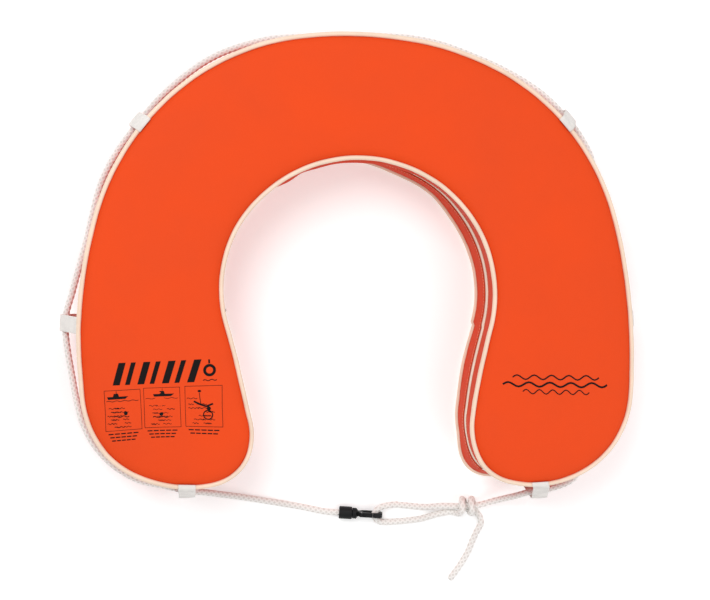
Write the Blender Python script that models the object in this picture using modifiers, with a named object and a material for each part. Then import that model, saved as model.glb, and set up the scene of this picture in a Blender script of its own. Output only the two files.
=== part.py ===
"""Horseshoe lifebuoy: zipped fabric cover on laminated foam, grab rope with a snap hook.

Units are metres, +Z is up.  The buoy lies on its back panel.  The crown of the
horseshoe points to +Y and its mouth opens to -Y.
"""
import math

import bpy
import bmesh
from mathutils import Matrix, Vector

# ---------------------------------------------------------------- horseshoe outline
# Seam line of the cover, half of it, as tangent arcs turning clockwise from the crown:
# (radius, turn in degrees, number of facets).
CROWN_Y = 0.2801
OUTER_ARCS = [(0.503, 7.0, 1), (0.2925, 68.0, 11), (0.613, 19.5, 4), (0.119, 100.5, 9)]
TIP_INNER_TURNS = [(17.0, 2), (71.9, 6)]
RING_RADIUS = 0.1623
RING_CENTRE_Y = -0.0271
RING_HALF_ANGLE = 103.9
RING_FACETS = 18

# ---------------------------------------------------------------- heights
BACK_PIPING_Z = 0.0031
FRONT_PIPING_Z = 0.107
PIPING_RADIUS = 0.0028
GUSSET_LOW_Z = 0.0062
GUSSET_HIGH_Z = 0.1038
ZIP_Z = 0.055

# ---------------------------------------------------------------- cover
# The front panel's cut edge (inset from the seam line, height), and the (inset, rise) steps
# by which it crowns towards the middle.
FRONT_PANEL_EDGE = (0.0034, 0.1070)
FRONT_PANEL_CROWN = [(0.0026, 0.0035), (0.0080, 0.0020), (0.0310, 0.0015)]
CLOTH_THICKNESS = 0.0008
# Slabs: (inset, lowest height, highest height).
BACK_PANEL = (0.0034, 0.0, 0.0012)
GUSSET_INSETS = (0.0003, 0.0012)
SEAM_GAP = 0.00015

# ---------------------------------------------------------------- foam slabs
FOAM_BACK = (0.0015, 0.0066, 0.0377)
FOAM_BACK_FOOT = [(0.0035, 0.0051)]
FOAM_MIDDLE = (0.005, 0.0380, 0.0722)
FOAM_FRONT = (0.0015, 0.0725, 0.1026)
FOAM_FRONT_CROWN = [(0.0035, 0.0046), (0.0090, 0.0036), (0.0310, 0.0016)]

# ---------------------------------------------------------------- zip
TAPE_INSETS = (0.0015, 0.0021)
TAPE_REACH = (0.0033, 0.0150)
COIL_INSETS = (0.0004, 0.0026)
COIL_REACH = (0.0007, 0.0030)
OPENING_REACH = 0.0075
STOP_LENGTH = 0.004
STOP_GAP = 0.0004
STOP_INSETS = (-0.0003, 0.0029)
STOP_HALF_HEIGHT = 0.0031
SLIDER_LENGTH = 0.012
SLIDER_HALF_HEIGHT = 0.0042
SLIDER_WEB_HALF = 0.0003
SLIDER_FRONT_PLATE = (0.0002, 0.0014)
SLIDER_BACK_PLATE = (-0.0042, -0.0030)
SLIDER_PARK_ANGLE = -97.0
BRIDGE_AXIS_REACH = 0.00245
BRIDGE_RADII = (0.0016, 0.0028)
BRIDGE_HALF_WIDTH = 0.0006
BRIDGE_ROOT_REACH = 0.0010
BRIDGE_FACETS = 8
TAB_LENGTH = 0.023
TAB_BAR_HALF = 0.00075
TAB_HALF_HEIGHT = 0.0035
TAB_HALF_THICKNESS = 0.0006
TAB_SLOT_END = 0.0034
TAB_SLOT_HALF = 0.0012

# ---------------------------------------------------------------- webbing loops
WEBBING_WIDTH = 0.020
WEBBING_HALF_THICKNESS = 0.0007
WEBBING_BEND = 0.005
WEBBING_PIPING_BEND = 0.0040
WEBBING_FOOT = (0.0009, 0.0068)
WEBBING_TUCK = (0.0009, 0.1030)
WEBBING_LEAD = (0.0006, 0.0060)
WEBBING_WRAP = (132.0, 100.0, 65.0, 30.0)
WEBBING_BEND_FACETS = 6
# name: (turn, reach of the outermost point, its height, lean along the edge, over the piping)
LOOPS = {
    "webbing_loop_crown_left": (-50.5, 0.0170, 0.060, 0.0, True),
    "webbing_loop_crown_right": (49.4, 0.0198, 0.070, 0.0, True),
    "webbing_loop_side_left": (-86.7, 0.0257, 0.050, 0.0, False),
    "webbing_loop_side_right": (86.7, 0.0257, 0.030, 0.0, False),
    "webbing_loop_tip_left": (-181.8, 0.0212, 0.037, 0.0, True),
    "webbing_loop_tip_right": (175.9, 0.0280, 0.049, -0.011, True),
}

# ---------------------------------------------------------------- snap hook
HOOK_ORIGIN = (-0.0155, -0.3029, 0.00805)
HOOK_YAW = -3.8
HOOK_PITCH = 4.9
SLEEVE_LENGTH = 0.0164
SLEEVE_RADIUS = 0.00785
SLEEVE_BORE = 0.0044
SLEEVE_CHAMBER = 0.0061
SLEEVE_CHAMBER_START = 0.006
SLEEVE_EDGE = 0.0008
COLLAR_START = 0.0167
COLLAR_END = 0.0221
COLLAR_RADIUS = 0.00675
COLLAR_NECK = 0.0245
COLLAR_NECK_RADIUS = 0.0030
COLLAR_EDGE = 0.0006
HOOK_HALF_WIDTH = 0.0028
HOOK_HALF_HEIGHT = 0.0105
HOOK_EYE_HALF_HEIGHT = 0.0055
HOOK_EYE_START = 0.0295
HOOK_EYE_END = 0.0500
HOOK_TIP = 0.0543
HOOK_MOUTH_END = 0.0425
HOOK_NECK_HALF = 0.0045
HOOK_NOSE_BEND = 0.0075
HOOK_EYE_BEND = 0.0040
HOOK_HEEL = (0.0310, -0.0065)
HOOK_HEEL_BEND = 0.0040
GATE_PIVOT = (0.0280, 0.0080)
GATE_RELIEF = 0.0042
GATE_KNUCKLE_RADIUS = 0.0024
GATE_KNUCKLE_SLOT_RADIUS = 0.0030
GATE_END = 0.0421
GATE_HALF_HEIGHT = 0.0022
GATE_EDGE = 0.0006
TONGUE_HALF = 0.0009
GATE_SLOT_HALF = 0.0012
GATE_PIN_RADIUS = 0.0010
GATE_PIN_BORE = 0.00105
CUT_OVERRUN = 0.001
ROUND_SIDES = 24
TUBE_RESOLUTION = 2
WELD_DISTANCE = 0.000001
SHARP_ANGLE = 35.0

# ---------------------------------------------------------------- grab rope
ROPE_RADIUS = 0.004
STOPPER_RADIUS = 0.0056
STOPPER_LENGTH = 0.006
STOPPER_EDGE = 0.001
SLEEVE_RUN = (0.0070, -0.0060, -0.0180)
STOPPER_START = 0.0074
CURVE_SAMPLES = 24
ROPE_STEP = 0.0245
SHORT_STEP = 0.0045
ROPE_JOIN_GAP = 0.0006
# Floor points on the way from the hook's sleeve to the left tip.
LEFT_RUN = [(-0.0640, -0.2952, 0.0050), (-0.1017, -0.2882, 0.0049), (-0.1367, -0.2813, 0.009),
            (-0.1615, -0.2760, 0.019), (-0.1788, -0.2717, 0.029)]
# Points round the buoy: (turn, reach outside the seam line, height).
RIM_RUN = [(-181.3, 0.0118, 0.041), (-170.0, 0.0066, 0.046), (-162.0, 0.0060, 0.054),
           (-155.0, 0.0062, 0.062), (-148.0, 0.0056, 0.069), (-138.0, 0.0052, 0.076),
           (-124.0, 0.0050, 0.082), (-110.0, 0.0050, 0.083), (-100.0, 0.0056, 0.077),
           (-93.5, 0.0092, 0.064), (-87.1, 0.0196, 0.050), (-83.1, 0.0144, 0.042),
           (-77.5, 0.0085, 0.034), (-67.5, 0.0114, 0.036), (-58.2, 0.0110, 0.046),
           (-50.5, 0.0088, 0.059), (-41.6, 0.0114, 0.058), (-30.2, 0.0140, 0.054),
           (-20.4, 0.0128, 0.048), (-9.0, 0.0076, 0.046), (8.0, 0.0068, 0.052),
           (25.0, 0.0064, 0.062), (39.0, 0.0112, 0.070), (49.4, 0.0126, 0.073),
           (57.8, 0.0126, 0.068), (64.5, 0.0080, 0.059), (75.0, 0.0060, 0.050),
           (86.7, 0.0057, 0.045), (103.0, 0.0049, 0.044), (120.0, 0.0049, 0.043),
           (135.0, 0.0052, 0.043), (145.0, 0.0120, 0.044), (154.0, 0.0192, 0.047),
           (163.0, 0.0192, 0.050), (170.5, 0.0185, 0.052)]
# Floor points from the right tip through the knot.
RIGHT_RUN = [(0.2181, -0.2738, 0.0488), (0.2042, -0.2808, 0.036), (0.1897, -0.2878, 0.019),
             (0.1755, -0.2923, 0.0140), (0.1604, -0.2964, 0.0132), (0.1450, -0.2972, 0.0132),
             (0.1300, -0.2974, 0.0130)]
# The bight that the hook snaps onto: floor points from the knot to the hook, points in the
# hook's own frame round its nose, and floor points back to the knot.
BIGHT_OUT = [(0.1150, -0.2972, 0.0104), (0.0939, -0.2991, 0.0054), (0.0723, -0.2970, 0.0046),
             (0.0560, -0.2950, 0.0056)]
BIGHT_EYE = [(0.0570, 0.0108, -0.0036), (0.0500, 0.0083, -0.0012), (0.0459, 0.0045, 0.0),
             (0.0446, 0.0, 0.0002), (0.0459, -0.0045, 0.0), (0.0500, -0.0083, -0.0012),
             (0.0575, -0.0096, -0.0042)]
BIGHT_BACK = [(0.0621, -0.3165, 0.0048), (0.0876, -0.3140, 0.0046), (0.1050, -0.3092, 0.0056)]
# The tail's two turns round the standing rope: they start along the rope and end under it.
KNOT_CENTRE = (0.1450, -0.2972, 0.0132)
KNOT_COIL_RADIUS = 0.0090
KNOT_FLARE = 0.0012
KNOT_START = -0.0210
KNOT_RUN_IN = 0.0140
KNOT_PITCH = 0.0095
KNOT_TILT = -0.0030
KNOT_START_ANGLE = 218.0
KNOT_TURN = -668.0
KNOT_POINTS = 30
TAIL_RUN = [(0.1588, -0.3058, 0.0043), (0.1645, -0.3130, 0.0043), (0.1655, -0.3215, 0.0043),
            (0.1605, -0.3310, 0.0043), (0.1545, -0.3436, 0.0043), (0.1480, -0.3590, 0.0043),
            (0.1385, -0.3745, 0.0043), (0.1252, -0.3925, 0.0043)]

# ---------------------------------------------------------------- colours (linear RGB)
ORANGE = (0.87, 0.105, 0.026)
ORANGE_SHADE = (0.72, 0.080, 0.020)
CREAM = (0.90, 0.72, 0.56)
ZIP_TAPE = (0.86, 0.66, 0.52)
ZIP_COIL = (0.88, 0.80, 0.72)
NICKEL = (0.55, 0.56, 0.58)
WEBBING = (0.76, 0.72, 0.68)
ROPE_WHITE = (0.85, 0.80, 0.76)
ROPE_MELTED = (0.55, 0.50, 0.42)
BLACK_PLASTIC = (0.014, 0.014, 0.016)
STEEL = (0.52, 0.53, 0.55)
FOAM_WHITE = (0.83, 0.83, 0.80)



# ---------------------------------------------------------------- scene helpers
def empty_scene():
    """Remove everything the new file starts with."""
    for obj in list(bpy.data.objects):
        bpy.data.objects.remove(obj, do_unlink=True)


def make_collection(name):
    """Add a collection to the scene."""
    collection = bpy.data.collections.new(name)
    bpy.context.scene.collection.children.link(collection)
    return collection


def make_material(name, colour, roughness, metallic=0.0):
    """One plain Principled material."""
    material = bpy.data.materials.new(name)
    material.use_nodes = True
    shader = material.node_tree.nodes["Principled BSDF"]
    shader.inputs["Base Color"].default_value = (*colour, 1.0)
    shader.inputs["Roughness"].default_value = roughness
    shader.inputs["Metallic"].default_value = metallic
    material.diffuse_color = (*colour, 1.0)
    return material


def add_part(name, data, collection, look):
    """Put mesh or curve data in the scene as a part with its own material."""
    data.materials.append(make_material(name + "_look", *look))
    obj = bpy.data.objects.new(name, data)
    collection.objects.link(obj)
    return obj


def add_helper(name, data, collection):
    """Put a Boolean helper in the scene, kept out of the part."""
    obj = bpy.data.objects.new(name, data)
    collection.objects.link(obj)
    obj.hide_render = True
    obj.display_type = "WIRE"
    return obj


def add_empty(name, collection, place):
    """An axis or frame that pieces hang on."""
    empty = bpy.data.objects.new(name, None)
    empty.empty_display_size = 0.01
    collection.objects.link(empty)
    empty.matrix_world = place
    return empty


def add_boolean(obj, other, operation):
    """Exact Boolean modifier against a hidden helper."""
    modifier = obj.modifiers.new(operation.lower(), "BOOLEAN")
    modifier.operation = operation
    modifier.solver = "EXACT"
    modifier.object = other


def add_thickness(obj, thickness, offset=0.0):
    """Solidify an open surface."""
    modifier = obj.modifiers.new("thickness", "SOLIDIFY")
    modifier.thickness = thickness
    modifier.offset = offset
    modifier.use_even_offset = True


# ---------------------------------------------------------------- shape makers
def poly_curve(name, points, cyclic, dimensions):
    """Curve data with one straight-sided spline."""
    curve = bpy.data.curves.new(name, "CURVE")
    curve.dimensions = dimensions
    spline = curve.splines.new("POLY")
    spline.points.add(len(points) - 1)
    for target, point in zip(spline.points, points):
        target.co = (point[0], point[1], point[2] if len(point) > 2 else 0.0, 1.0)
    spline.use_cyclic_u = cyclic
    return curve


def flat_outline(name, outline, half_thickness):
    """Filled flat shape in the XY plane, extruded both ways along Z."""
    curve = poly_curve(name, outline, True, "2D")
    curve.fill_mode = "BOTH"
    curve.extrude = half_thickness
    return curve


def ribbon(name, line, half_width):
    """Open surface that follows a line in the XY plane, as wide along Z."""
    curve = poly_curve(name, line, False, "2D")
    curve.fill_mode = "NONE"
    curve.extrude = half_width
    return curve


def tube(name, points, radius, cyclic=False):
    """Round cord along points, closed or with flat ends."""
    curve = poly_curve(name, points, cyclic, "3D")
    curve.bevel_depth = radius
    curve.bevel_resolution = TUBE_RESOLUTION
    curve.use_fill_caps = not cyclic
    return curve


def curve_as_mesh(curve):
    """Mesh of a curve's evaluated shape, with its loose caps welded on."""
    carrier = bpy.data.objects.new("carrier", curve)
    bpy.context.scene.collection.objects.link(carrier)
    depsgraph = bpy.context.evaluated_depsgraph_get()
    mesh = bpy.data.meshes.new_from_object(carrier.evaluated_get(depsgraph))
    bpy.data.objects.remove(carrier, do_unlink=True)
    mesh.name = curve.name
    bm = bmesh.new()
    bm.from_mesh(mesh)
    bmesh.ops.remove_doubles(bm, verts=bm.verts, dist=WELD_DISTANCE)
    bmesh.ops.recalc_face_normals(bm, faces=bm.faces)
    bm.to_mesh(mesh)
    bm.free()
    bpy.data.curves.remove(curve)
    return mesh


def inset_cap(mesh, side, steps):
    """Crown the cap that faces up (side 1) or down (side -1) by (inset, rise) steps."""
    bm = bmesh.new()
    bm.from_mesh(mesh)
    triangles = [face for face in bm.faces if face.normal.z * side > 0.9]
    cap = bmesh.ops.dissolve_faces(bm, faces=triangles)["region"]
    for inset, rise in steps:
        bmesh.ops.inset_region(bm, faces=cap, thickness=inset, depth=rise,
                               use_even_offset=True, use_boundary=True)
    bm.to_mesh(mesh)
    bm.free()


def block(name, size, centre=(0.0, 0.0, 0.0)):
    """Box of a size round a centre."""
    mesh = bpy.data.meshes.new(name)
    bm = bmesh.new()
    bmesh.ops.create_cube(bm, size=1.0, matrix=Matrix.Translation(centre) @ Matrix.Diagonal((*size, 1.0)))
    bm.to_mesh(mesh)
    bm.free()
    return mesh


def cross_cylinder(name, radius, low, high):
    """Cylinder along Y, round the origin."""
    mesh = bpy.data.meshes.new(name)
    bm = bmesh.new()
    place = Matrix.Translation((0.0, (low + high) / 2.0, 0.0)) @ Matrix.Rotation(math.pi / 2.0, 4, "X")
    bmesh.ops.create_cone(bm, cap_ends=True, segments=ROUND_SIDES, radius1=radius, radius2=radius,
                          depth=high - low, matrix=place)
    bm.to_mesh(mesh)
    bm.free()
    mesh.shade_smooth()
    mesh.set_sharp_from_angle(angle=math.radians(SHARP_ANGLE))
    return mesh


def profile_mesh(name, profile, closed):
    """Line of (radius, height) points for turning, top to bottom on its outer side."""
    mesh = bpy.data.meshes.new(name)
    count = len(profile)
    edges = [(i, (i + 1) % count) for i in range(count if closed else count - 1)]
    mesh.from_pydata([(radius, 0.0, height) for radius, height in profile], edges, [])
    return mesh


def turn_profile(obj):
    """Turn an object's profile round its own Z axis."""
    modifier = obj.modifiers.new("turned", "SCREW")
    modifier.axis = "Z"
    modifier.angle = 2.0 * math.pi
    modifier.steps = ROUND_SIDES
    modifier.render_steps = ROUND_SIDES
    modifier.use_merge_vertices = True
    modifier.merge_threshold = WELD_DISTANCE
    modifier.use_smooth_shade = True


# ---------------------------------------------------------------- outline
def arc_move(start_turn, end_turn):
    """Displacement along a clockwise arc of unit radius between two headings."""
    first = math.radians(start_turn)
    last = math.radians(end_turn)
    return Vector((math.sin(last) - math.sin(first), math.cos(last) - math.cos(first)))


def outer_chain():
    """Arcs of the right half as (start point, start turn, radius, sweep, facets)."""
    chain = []
    point = Vector((0.0, CROWN_Y))
    turn = 0.0
    for radius, sweep, facets in OUTER_ARCS:
        chain.append((point.copy(), turn, radius, sweep, facets))
        point += radius * arc_move(turn, turn + sweep)
        turn += sweep
    end_turn = turn + sum(sweep for sweep, _ in TIP_INNER_TURNS)
    ring_end = ring_point(RING_HALF_ANGLE)
    gap = ring_end - point
    curve = arc_move(turn, end_turn)
    leg = Vector((math.cos(math.radians(end_turn)), -math.sin(math.radians(end_turn))))
    tip_radius = gap.cross(leg) / curve.cross(leg)
    for sweep, facets in TIP_INNER_TURNS:
        chain.append((point.copy(), turn, tip_radius, sweep, facets))
        point += tip_radius * arc_move(turn, turn + sweep)
        turn += sweep
    return chain


def ring_point(angle):
    """Point of the inner ring, angle in degrees clockwise from its top."""
    a = math.radians(angle)
    return Vector((RING_RADIUS * math.sin(a), RING_CENTRE_Y + RING_RADIUS * math.cos(a)))


CHAIN = outer_chain()


def rim_station(turn):
    """Point and outward normal of the right half at a clockwise turn from the crown."""
    for start, first, radius, sweep, _ in CHAIN:
        if turn <= first + sweep:
            break
    point = start + radius * arc_move(first, turn)
    a = math.radians(turn)
    return point, Vector((math.sin(a), math.cos(a)))


def ring_station(angle):
    """Point and normal (towards the hole) on the inner ring."""
    a = math.radians(angle)
    return ring_point(angle), Vector((-math.sin(a), -math.cos(a)))


def mirrored(station):
    """The same station on the other half."""
    point, normal = station
    return Vector((-point.x, point.y)), Vector((-normal.x, normal.y))


def right_half():
    """Stations of the right half from the crown to the top of the hole."""
    stations = [rim_station(0.0)]
    for _, first, _, sweep, facets in CHAIN:
        for i in range(1, facets + 1):
            stations.append(rim_station(first + sweep * i / facets))
    for i in range(RING_FACETS + 1):
        stations.append(ring_station(RING_HALF_ANGLE * (1.0 - i / RING_FACETS)))
    return stations


RIGHT = right_half()
LEFT = [mirrored(station) for station in RIGHT[1:-1]]
RIM = RIGHT + LEFT[::-1]
ZIP_FIRST = len(RIGHT) - 1 - RING_FACETS - 1 - TIP_INNER_TURNS[1][1]
ZIP_LAST = len(RIGHT) - 1 + RING_FACETS


def offset_point(station, reach, height=0.0, along=0.0):
    """Point beside a station: reach is outward, along is clockwise."""
    point, normal = station
    tangent = Vector((normal.y, -normal.x))
    flat = point + normal * reach + tangent * along
    return Vector((flat.x, flat.y, height))


def offset_line(stations, inset):
    """The stations' line moved inwards."""
    return [offset_point(station, -inset) for station in stations]


def at_rim(turn, reach, height):
    """Point beside the outer edge; negative turns are on the left half."""
    place = offset_point(rim_station(abs(turn)), reach, height)
    if turn < 0.0:
        place.x = -place.x
    return place


def station_frame(station, height):
    """Matrix at a station: X outward, Z up."""
    point, normal = station
    spin = Matrix.Rotation(math.atan2(normal.y, normal.x), 4, "Z")
    return Matrix.Translation((point.x, point.y, height)) @ spin


def trimmed(stations, gap):
    """Stations with both ends moved in along the edge."""
    out = list(stations)
    for index, move in ((0, gap), (-1, -gap)):
        point, normal = out[index]
        tangent = Vector((normal.y, -normal.x))
        out[index] = (point + tangent * move, normal)
    return out


# ---------------------------------------------------------------- cover and foam
def add_slab(name, size, collection, look, side=1, steps=()):
    """Horseshoe slab between two heights, with one cap crowned by steps."""
    inset, low, high = size
    slab = flat_outline(name, offset_line(RIM, inset), (high - low) / 2.0)
    if steps:
        slab = curve_as_mesh(slab)
        inset_cap(slab, side, steps)
    obj = add_part(name, slab, collection, look)
    obj.location.z = (low + high) / 2.0


def add_front_panel(collection, look):
    """Crowned cloth panel, an open surface with the cloth's thickness."""
    inset, height = FRONT_PANEL_EDGE
    sheet = curve_as_mesh(flat_outline("cover_front_panel", offset_line(RIM, inset), 0.0))
    if sheet.polygons[0].normal.z < 0.0:
        sheet.flip_normals()
    inset_cap(sheet, 1, FRONT_PANEL_CROWN)
    panel = add_part("cover_front_panel", sheet, collection, look)
    panel.location.z = height
    add_thickness(panel, CLOTH_THICKNESS, -1.0)


def add_band(name, stations, insets, low, high, collection, look):
    """Upright band of even height and thickness along stations."""
    near, deep = insets
    line = offset_line(stations, (near + deep) / 2.0)
    band = add_part(name, ribbon(name, line, (high - low) / 2.0), collection, look)
    band.location.z = (low + high) / 2.0
    add_thickness(band, deep - near)


def build_cover(collection):
    """Panels, gussets, piping and foam."""
    cloth = (ORANGE, 0.8, 0.0)
    side_cloth = (ORANGE_SHADE, 0.8, 0.0)
    foam = (FOAM_WHITE, 0.9, 0.0)
    cord = (CREAM, 0.6, 0.0)
    add_slab("core_foam_back", FOAM_BACK, collection, foam, -1, FOAM_BACK_FOOT)
    add_slab("core_foam_middle", FOAM_MIDDLE, collection, foam)
    add_slab("core_foam_front", FOAM_FRONT, collection, foam, 1, FOAM_FRONT_CROWN)
    add_slab("cover_back_panel", BACK_PANEL, collection, cloth)
    add_front_panel(collection, cloth)
    for name, height in (("front_piping", FRONT_PIPING_Z), ("back_piping", BACK_PIPING_Z)):
        piping = add_part(name, tube(name, offset_line(RIM, 0.0), PIPING_RADIUS, True), collection, cord)
        piping.location.z = height

    outer = trimmed(RIM[ZIP_LAST:] + RIM[:ZIP_FIRST + 1], SEAM_GAP)
    inner = trimmed(RIM[ZIP_FIRST:ZIP_LAST + 1], SEAM_GAP)
    bands = (("outer_gusset", outer, GUSSET_LOW_Z, GUSSET_HIGH_Z),
             ("inner_gusset_back", inner, GUSSET_LOW_Z, ZIP_Z - OPENING_REACH),
             ("inner_gusset_front", inner, ZIP_Z + OPENING_REACH, GUSSET_HIGH_Z))
    for name, stations, low, high in bands:
        add_band(name, stations, GUSSET_INSETS, low, high, collection, side_cloth)


# ---------------------------------------------------------------- zip
def zip_rows():
    """Tape and coil rows: (name, insets, near reach, far reach, stations, look)."""
    tape_run = trimmed(RIM[ZIP_FIRST:ZIP_LAST + 1], SEAM_GAP)
    clear = STOP_LENGTH + STOP_GAP + SEAM_GAP
    _, first_turn, tip_radius, _, _ = CHAIN[-1]
    start_turn = first_turn + math.degrees(clear / tip_radius)
    end_angle = -RING_HALF_ANGLE + math.degrees(clear / RING_RADIUS)
    coil_run = [rim_station(start_turn)] + RIM[ZIP_FIRST + 1:ZIP_LAST] + [ring_station(end_angle)]
    tape = (ZIP_TAPE, 0.7, 0.0)
    coil = (ZIP_COIL, 0.45, 0.0)
    return (("zip_tape", TAPE_INSETS, TAPE_REACH, tape_run, tape),
            ("zip_coil", COIL_INSETS, COIL_REACH, coil_run, coil))


def build_zip_rows(collection):
    """Both tapes and both coil rows, front and back of the zip's middle line."""
    for name, insets, (near, far), stations, look in zip_rows():
        for side, low, high in (("front", near, far), ("back", -far, -near)):
            add_band(name + "_" + side, stations, insets, ZIP_Z + low, ZIP_Z + high, collection, look)


def build_zip_stops(collection):
    """One stop across the right end, one on each coil row at the left end."""
    metal = (NICKEL, 0.35, 1.0)
    near, deep = STOP_INSETS
    middle = SEAM_GAP + STOP_LENGTH / 2.0
    tall = STOP_HALF_HEIGHT
    clear = COIL_REACH[0]
    stops = (("zip_bottom_stop", RIM[ZIP_FIRST], -middle, -tall, tall),
             ("zip_top_stop_back", RIM[ZIP_LAST], middle, -tall, -clear),
             ("zip_top_stop_front", RIM[ZIP_LAST], middle, clear, tall))
    for name, station, along, low, high in stops:
        stop = add_part(name, block(name, (deep - near, STOP_LENGTH, high - low)), collection, metal)
        centre = Vector((-(near + deep) / 2.0, along, (low + high) / 2.0))
        stop.matrix_world = station_frame(station, ZIP_Z) @ Matrix.Translation(centre)


def slider_section():
    """Outline across the slider as (distance from the ring's centre, height)."""
    tall = SLIDER_HALF_HEIGHT
    web = SLIDER_WEB_HALF
    front_low, front_high = SLIDER_FRONT_PLATE
    back_low, back_high = SLIDER_BACK_PLATE
    section = ((front_high, -tall), (front_high, tall), (front_low, tall), (front_low, web),
               (back_high, web), (back_high, tall), (back_low, tall), (back_low, -tall),
               (back_high, -tall), (back_high, -web), (front_low, -web), (front_low, -tall))
    return [(RING_RADIUS - n, z) for n, z in section]


def bridge_outline():
    """Half-round arch over the tab's axis, open towards the slider."""
    inner, outer = BRIDGE_RADII
    root = BRIDGE_ROOT_REACH - BRIDGE_AXIS_REACH
    angles = [math.pi * i / BRIDGE_FACETS for i in range(BRIDGE_FACETS + 1)]
    outline = [(outer, root)]
    outline += [(outer * math.cos(a), outer * math.sin(a)) for a in angles]
    outline += [(-outer, root), (-inner, root)]
    outline += [(inner * math.cos(a), inner * math.sin(a)) for a in reversed(angles)]
    outline += [(inner, root)]
    return [(RING_RADIUS - BRIDGE_AXIS_REACH - n, s) for s, n in outline]


def build_slider(collection, helpers):
    """Zip slider with its bridge, and the pull tab that hangs on the bridge."""
    metal = (NICKEL, 0.35, 1.0)
    spin = Matrix.Rotation(math.radians(90.0 - SLIDER_PARK_ANGLE), 4, "Z")
    place = Matrix.Translation((0.0, RING_CENTRE_Y, ZIP_Z)) @ spin
    travel_axis = add_empty("zip_travel_axis", collection, place)
    body = curve_as_mesh(flat_outline("zip_slider", slider_section(), SLIDER_LENGTH / 2.0))
    body.transform(Matrix.Rotation(math.pi / 2.0, 4, "X"))
    slider = add_part("zip_slider", body, collection, metal)
    slider.parent = travel_axis
    arch = curve_as_mesh(flat_outline("slider_bridge", bridge_outline(), BRIDGE_HALF_WIDTH))
    bridge = add_helper("slider_bridge", arch, helpers)
    bridge.matrix_world = place
    add_boolean(slider, bridge, "UNION")

    reach = RING_RADIUS - BRIDGE_AXIS_REACH
    thick = 2.0 * TAB_HALF_THICKNESS
    plate = block("zip_pull_tab", (thick, TAB_LENGTH + TAB_BAR_HALF, 2.0 * TAB_HALF_HEIGHT),
                  (0.0, (TAB_BAR_HALF - TAB_LENGTH) / 2.0, 0.0))
    tab = add_part("zip_pull_tab", plate, collection, metal)
    tab.parent = travel_axis
    tab.location.x = reach
    hole = block("tab_slot", (3.0 * thick, TAB_SLOT_END - TAB_BAR_HALF, 2.0 * TAB_SLOT_HALF),
                 (0.0, -(TAB_SLOT_END + TAB_BAR_HALF) / 2.0, 0.0))
    slot = add_helper("tab_slot", hole, helpers)
    slot.matrix_world = place @ Matrix.Translation((reach, 0.0, 0.0))
    add_boolean(tab, slot, "DIFFERENCE")


# ---------------------------------------------------------------- webbing loops
def webbing_path(reach, height, over_piping):
    """Middle line of a loop as (reach, height): seam, slack bend, foot."""
    if over_piping:
        path = []
        for angle in WEBBING_WRAP:
            a = math.radians(angle)
            path.append((WEBBING_PIPING_BEND * math.cos(a),
                         FRONT_PIPING_Z + WEBBING_PIPING_BEND * math.sin(a)))
    else:
        path = [WEBBING_TUCK, (WEBBING_TUCK[0] + WEBBING_LEAD[0], WEBBING_TUCK[1] - WEBBING_LEAD[1])]
    centre = (reach - WEBBING_BEND, height)
    start = path[-1]
    for angle in bend_angles(centre, start):
        path.append((centre[0] + WEBBING_BEND * math.cos(angle),
                     centre[1] + WEBBING_BEND * math.sin(angle)))
    path.append((WEBBING_FOOT[0] + WEBBING_LEAD[0], WEBBING_FOOT[1] + WEBBING_LEAD[1]))
    path.append(WEBBING_FOOT)
    return path


def bend_angles(centre, start):
    """Angles of the round part, tangent to the straight runs above and below it."""
    angles = []
    for target, side in ((start, 1.0), (WEBBING_FOOT, -1.0)):
        dx = target[0] - centre[0]
        dz = target[1] - centre[1]
        distance = math.hypot(dx, dz)
        open_angle = math.acos(WEBBING_BEND / distance)
        angles.append(math.atan2(dz, dx) - side * open_angle)
    high, low = angles
    step = (low - high) / WEBBING_BEND_FACETS
    return [high + step * i for i in range(WEBBING_BEND_FACETS + 1)]


def build_loops(collection):
    """Six webbing loops that carry the grab rope, each a flat strip on edge."""
    look = (WEBBING, 0.75, 0.0)
    upright = Matrix.Rotation(math.pi / 2.0, 4, "X")
    for name, (turn, reach, height, lean, over_piping) in LOOPS.items():
        path = webbing_path(reach, height, over_piping)
        strip = curve_as_mesh(ribbon(name, path, WEBBING_WIDTH / 2.0))
        slant = Matrix.Identity(4)
        slant[2][0] = lean / reach
        strip.transform(upright @ slant)
        loop = add_part(name, strip, collection, look)
        station = rim_station(abs(turn))
        loop.matrix_world = station_frame(mirrored(station) if turn < 0.0 else station, 0.0)
        add_thickness(loop, 2.0 * WEBBING_HALF_THICKNESS)


# ---------------------------------------------------------------- snap hook
def hook_frame():
    """Matrix of the hook: X along the hook, Z across its gate."""
    yaw = Matrix.Rotation(math.radians(HOOK_YAW), 4, "Z")
    pitch = Matrix.Rotation(math.radians(-HOOK_PITCH), 4, "Y")
    return Matrix.Translation(HOOK_ORIGIN) @ yaw @ pitch


def sleeve_profile():
    """Rope sleeve: wide chamber for the melted rope end above, narrow mouth below."""
    edge = SLEEVE_EDGE
    return ((SLEEVE_RADIUS - edge, SLEEVE_LENGTH), (SLEEVE_RADIUS, SLEEVE_LENGTH - edge),
            (SLEEVE_RADIUS, edge), (SLEEVE_RADIUS - edge, 0.0), (SLEEVE_BORE, 0.0),
            (SLEEVE_BORE, SLEEVE_CHAMBER_START), (SLEEVE_CHAMBER, SLEEVE_CHAMBER_START),
            (SLEEVE_CHAMBER, SLEEVE_LENGTH))


def collar_profile():
    """Collar of the hook, tapering to its neck."""
    edge = COLLAR_EDGE
    return ((0.0, COLLAR_NECK), (COLLAR_NECK_RADIUS, COLLAR_NECK), (COLLAR_RADIUS - edge, COLLAR_END),
            (COLLAR_RADIUS, COLLAR_END - edge), (COLLAR_RADIUS, COLLAR_START + edge),
            (COLLAR_RADIUS - edge, COLLAR_START), (0.0, COLLAR_START))


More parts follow.
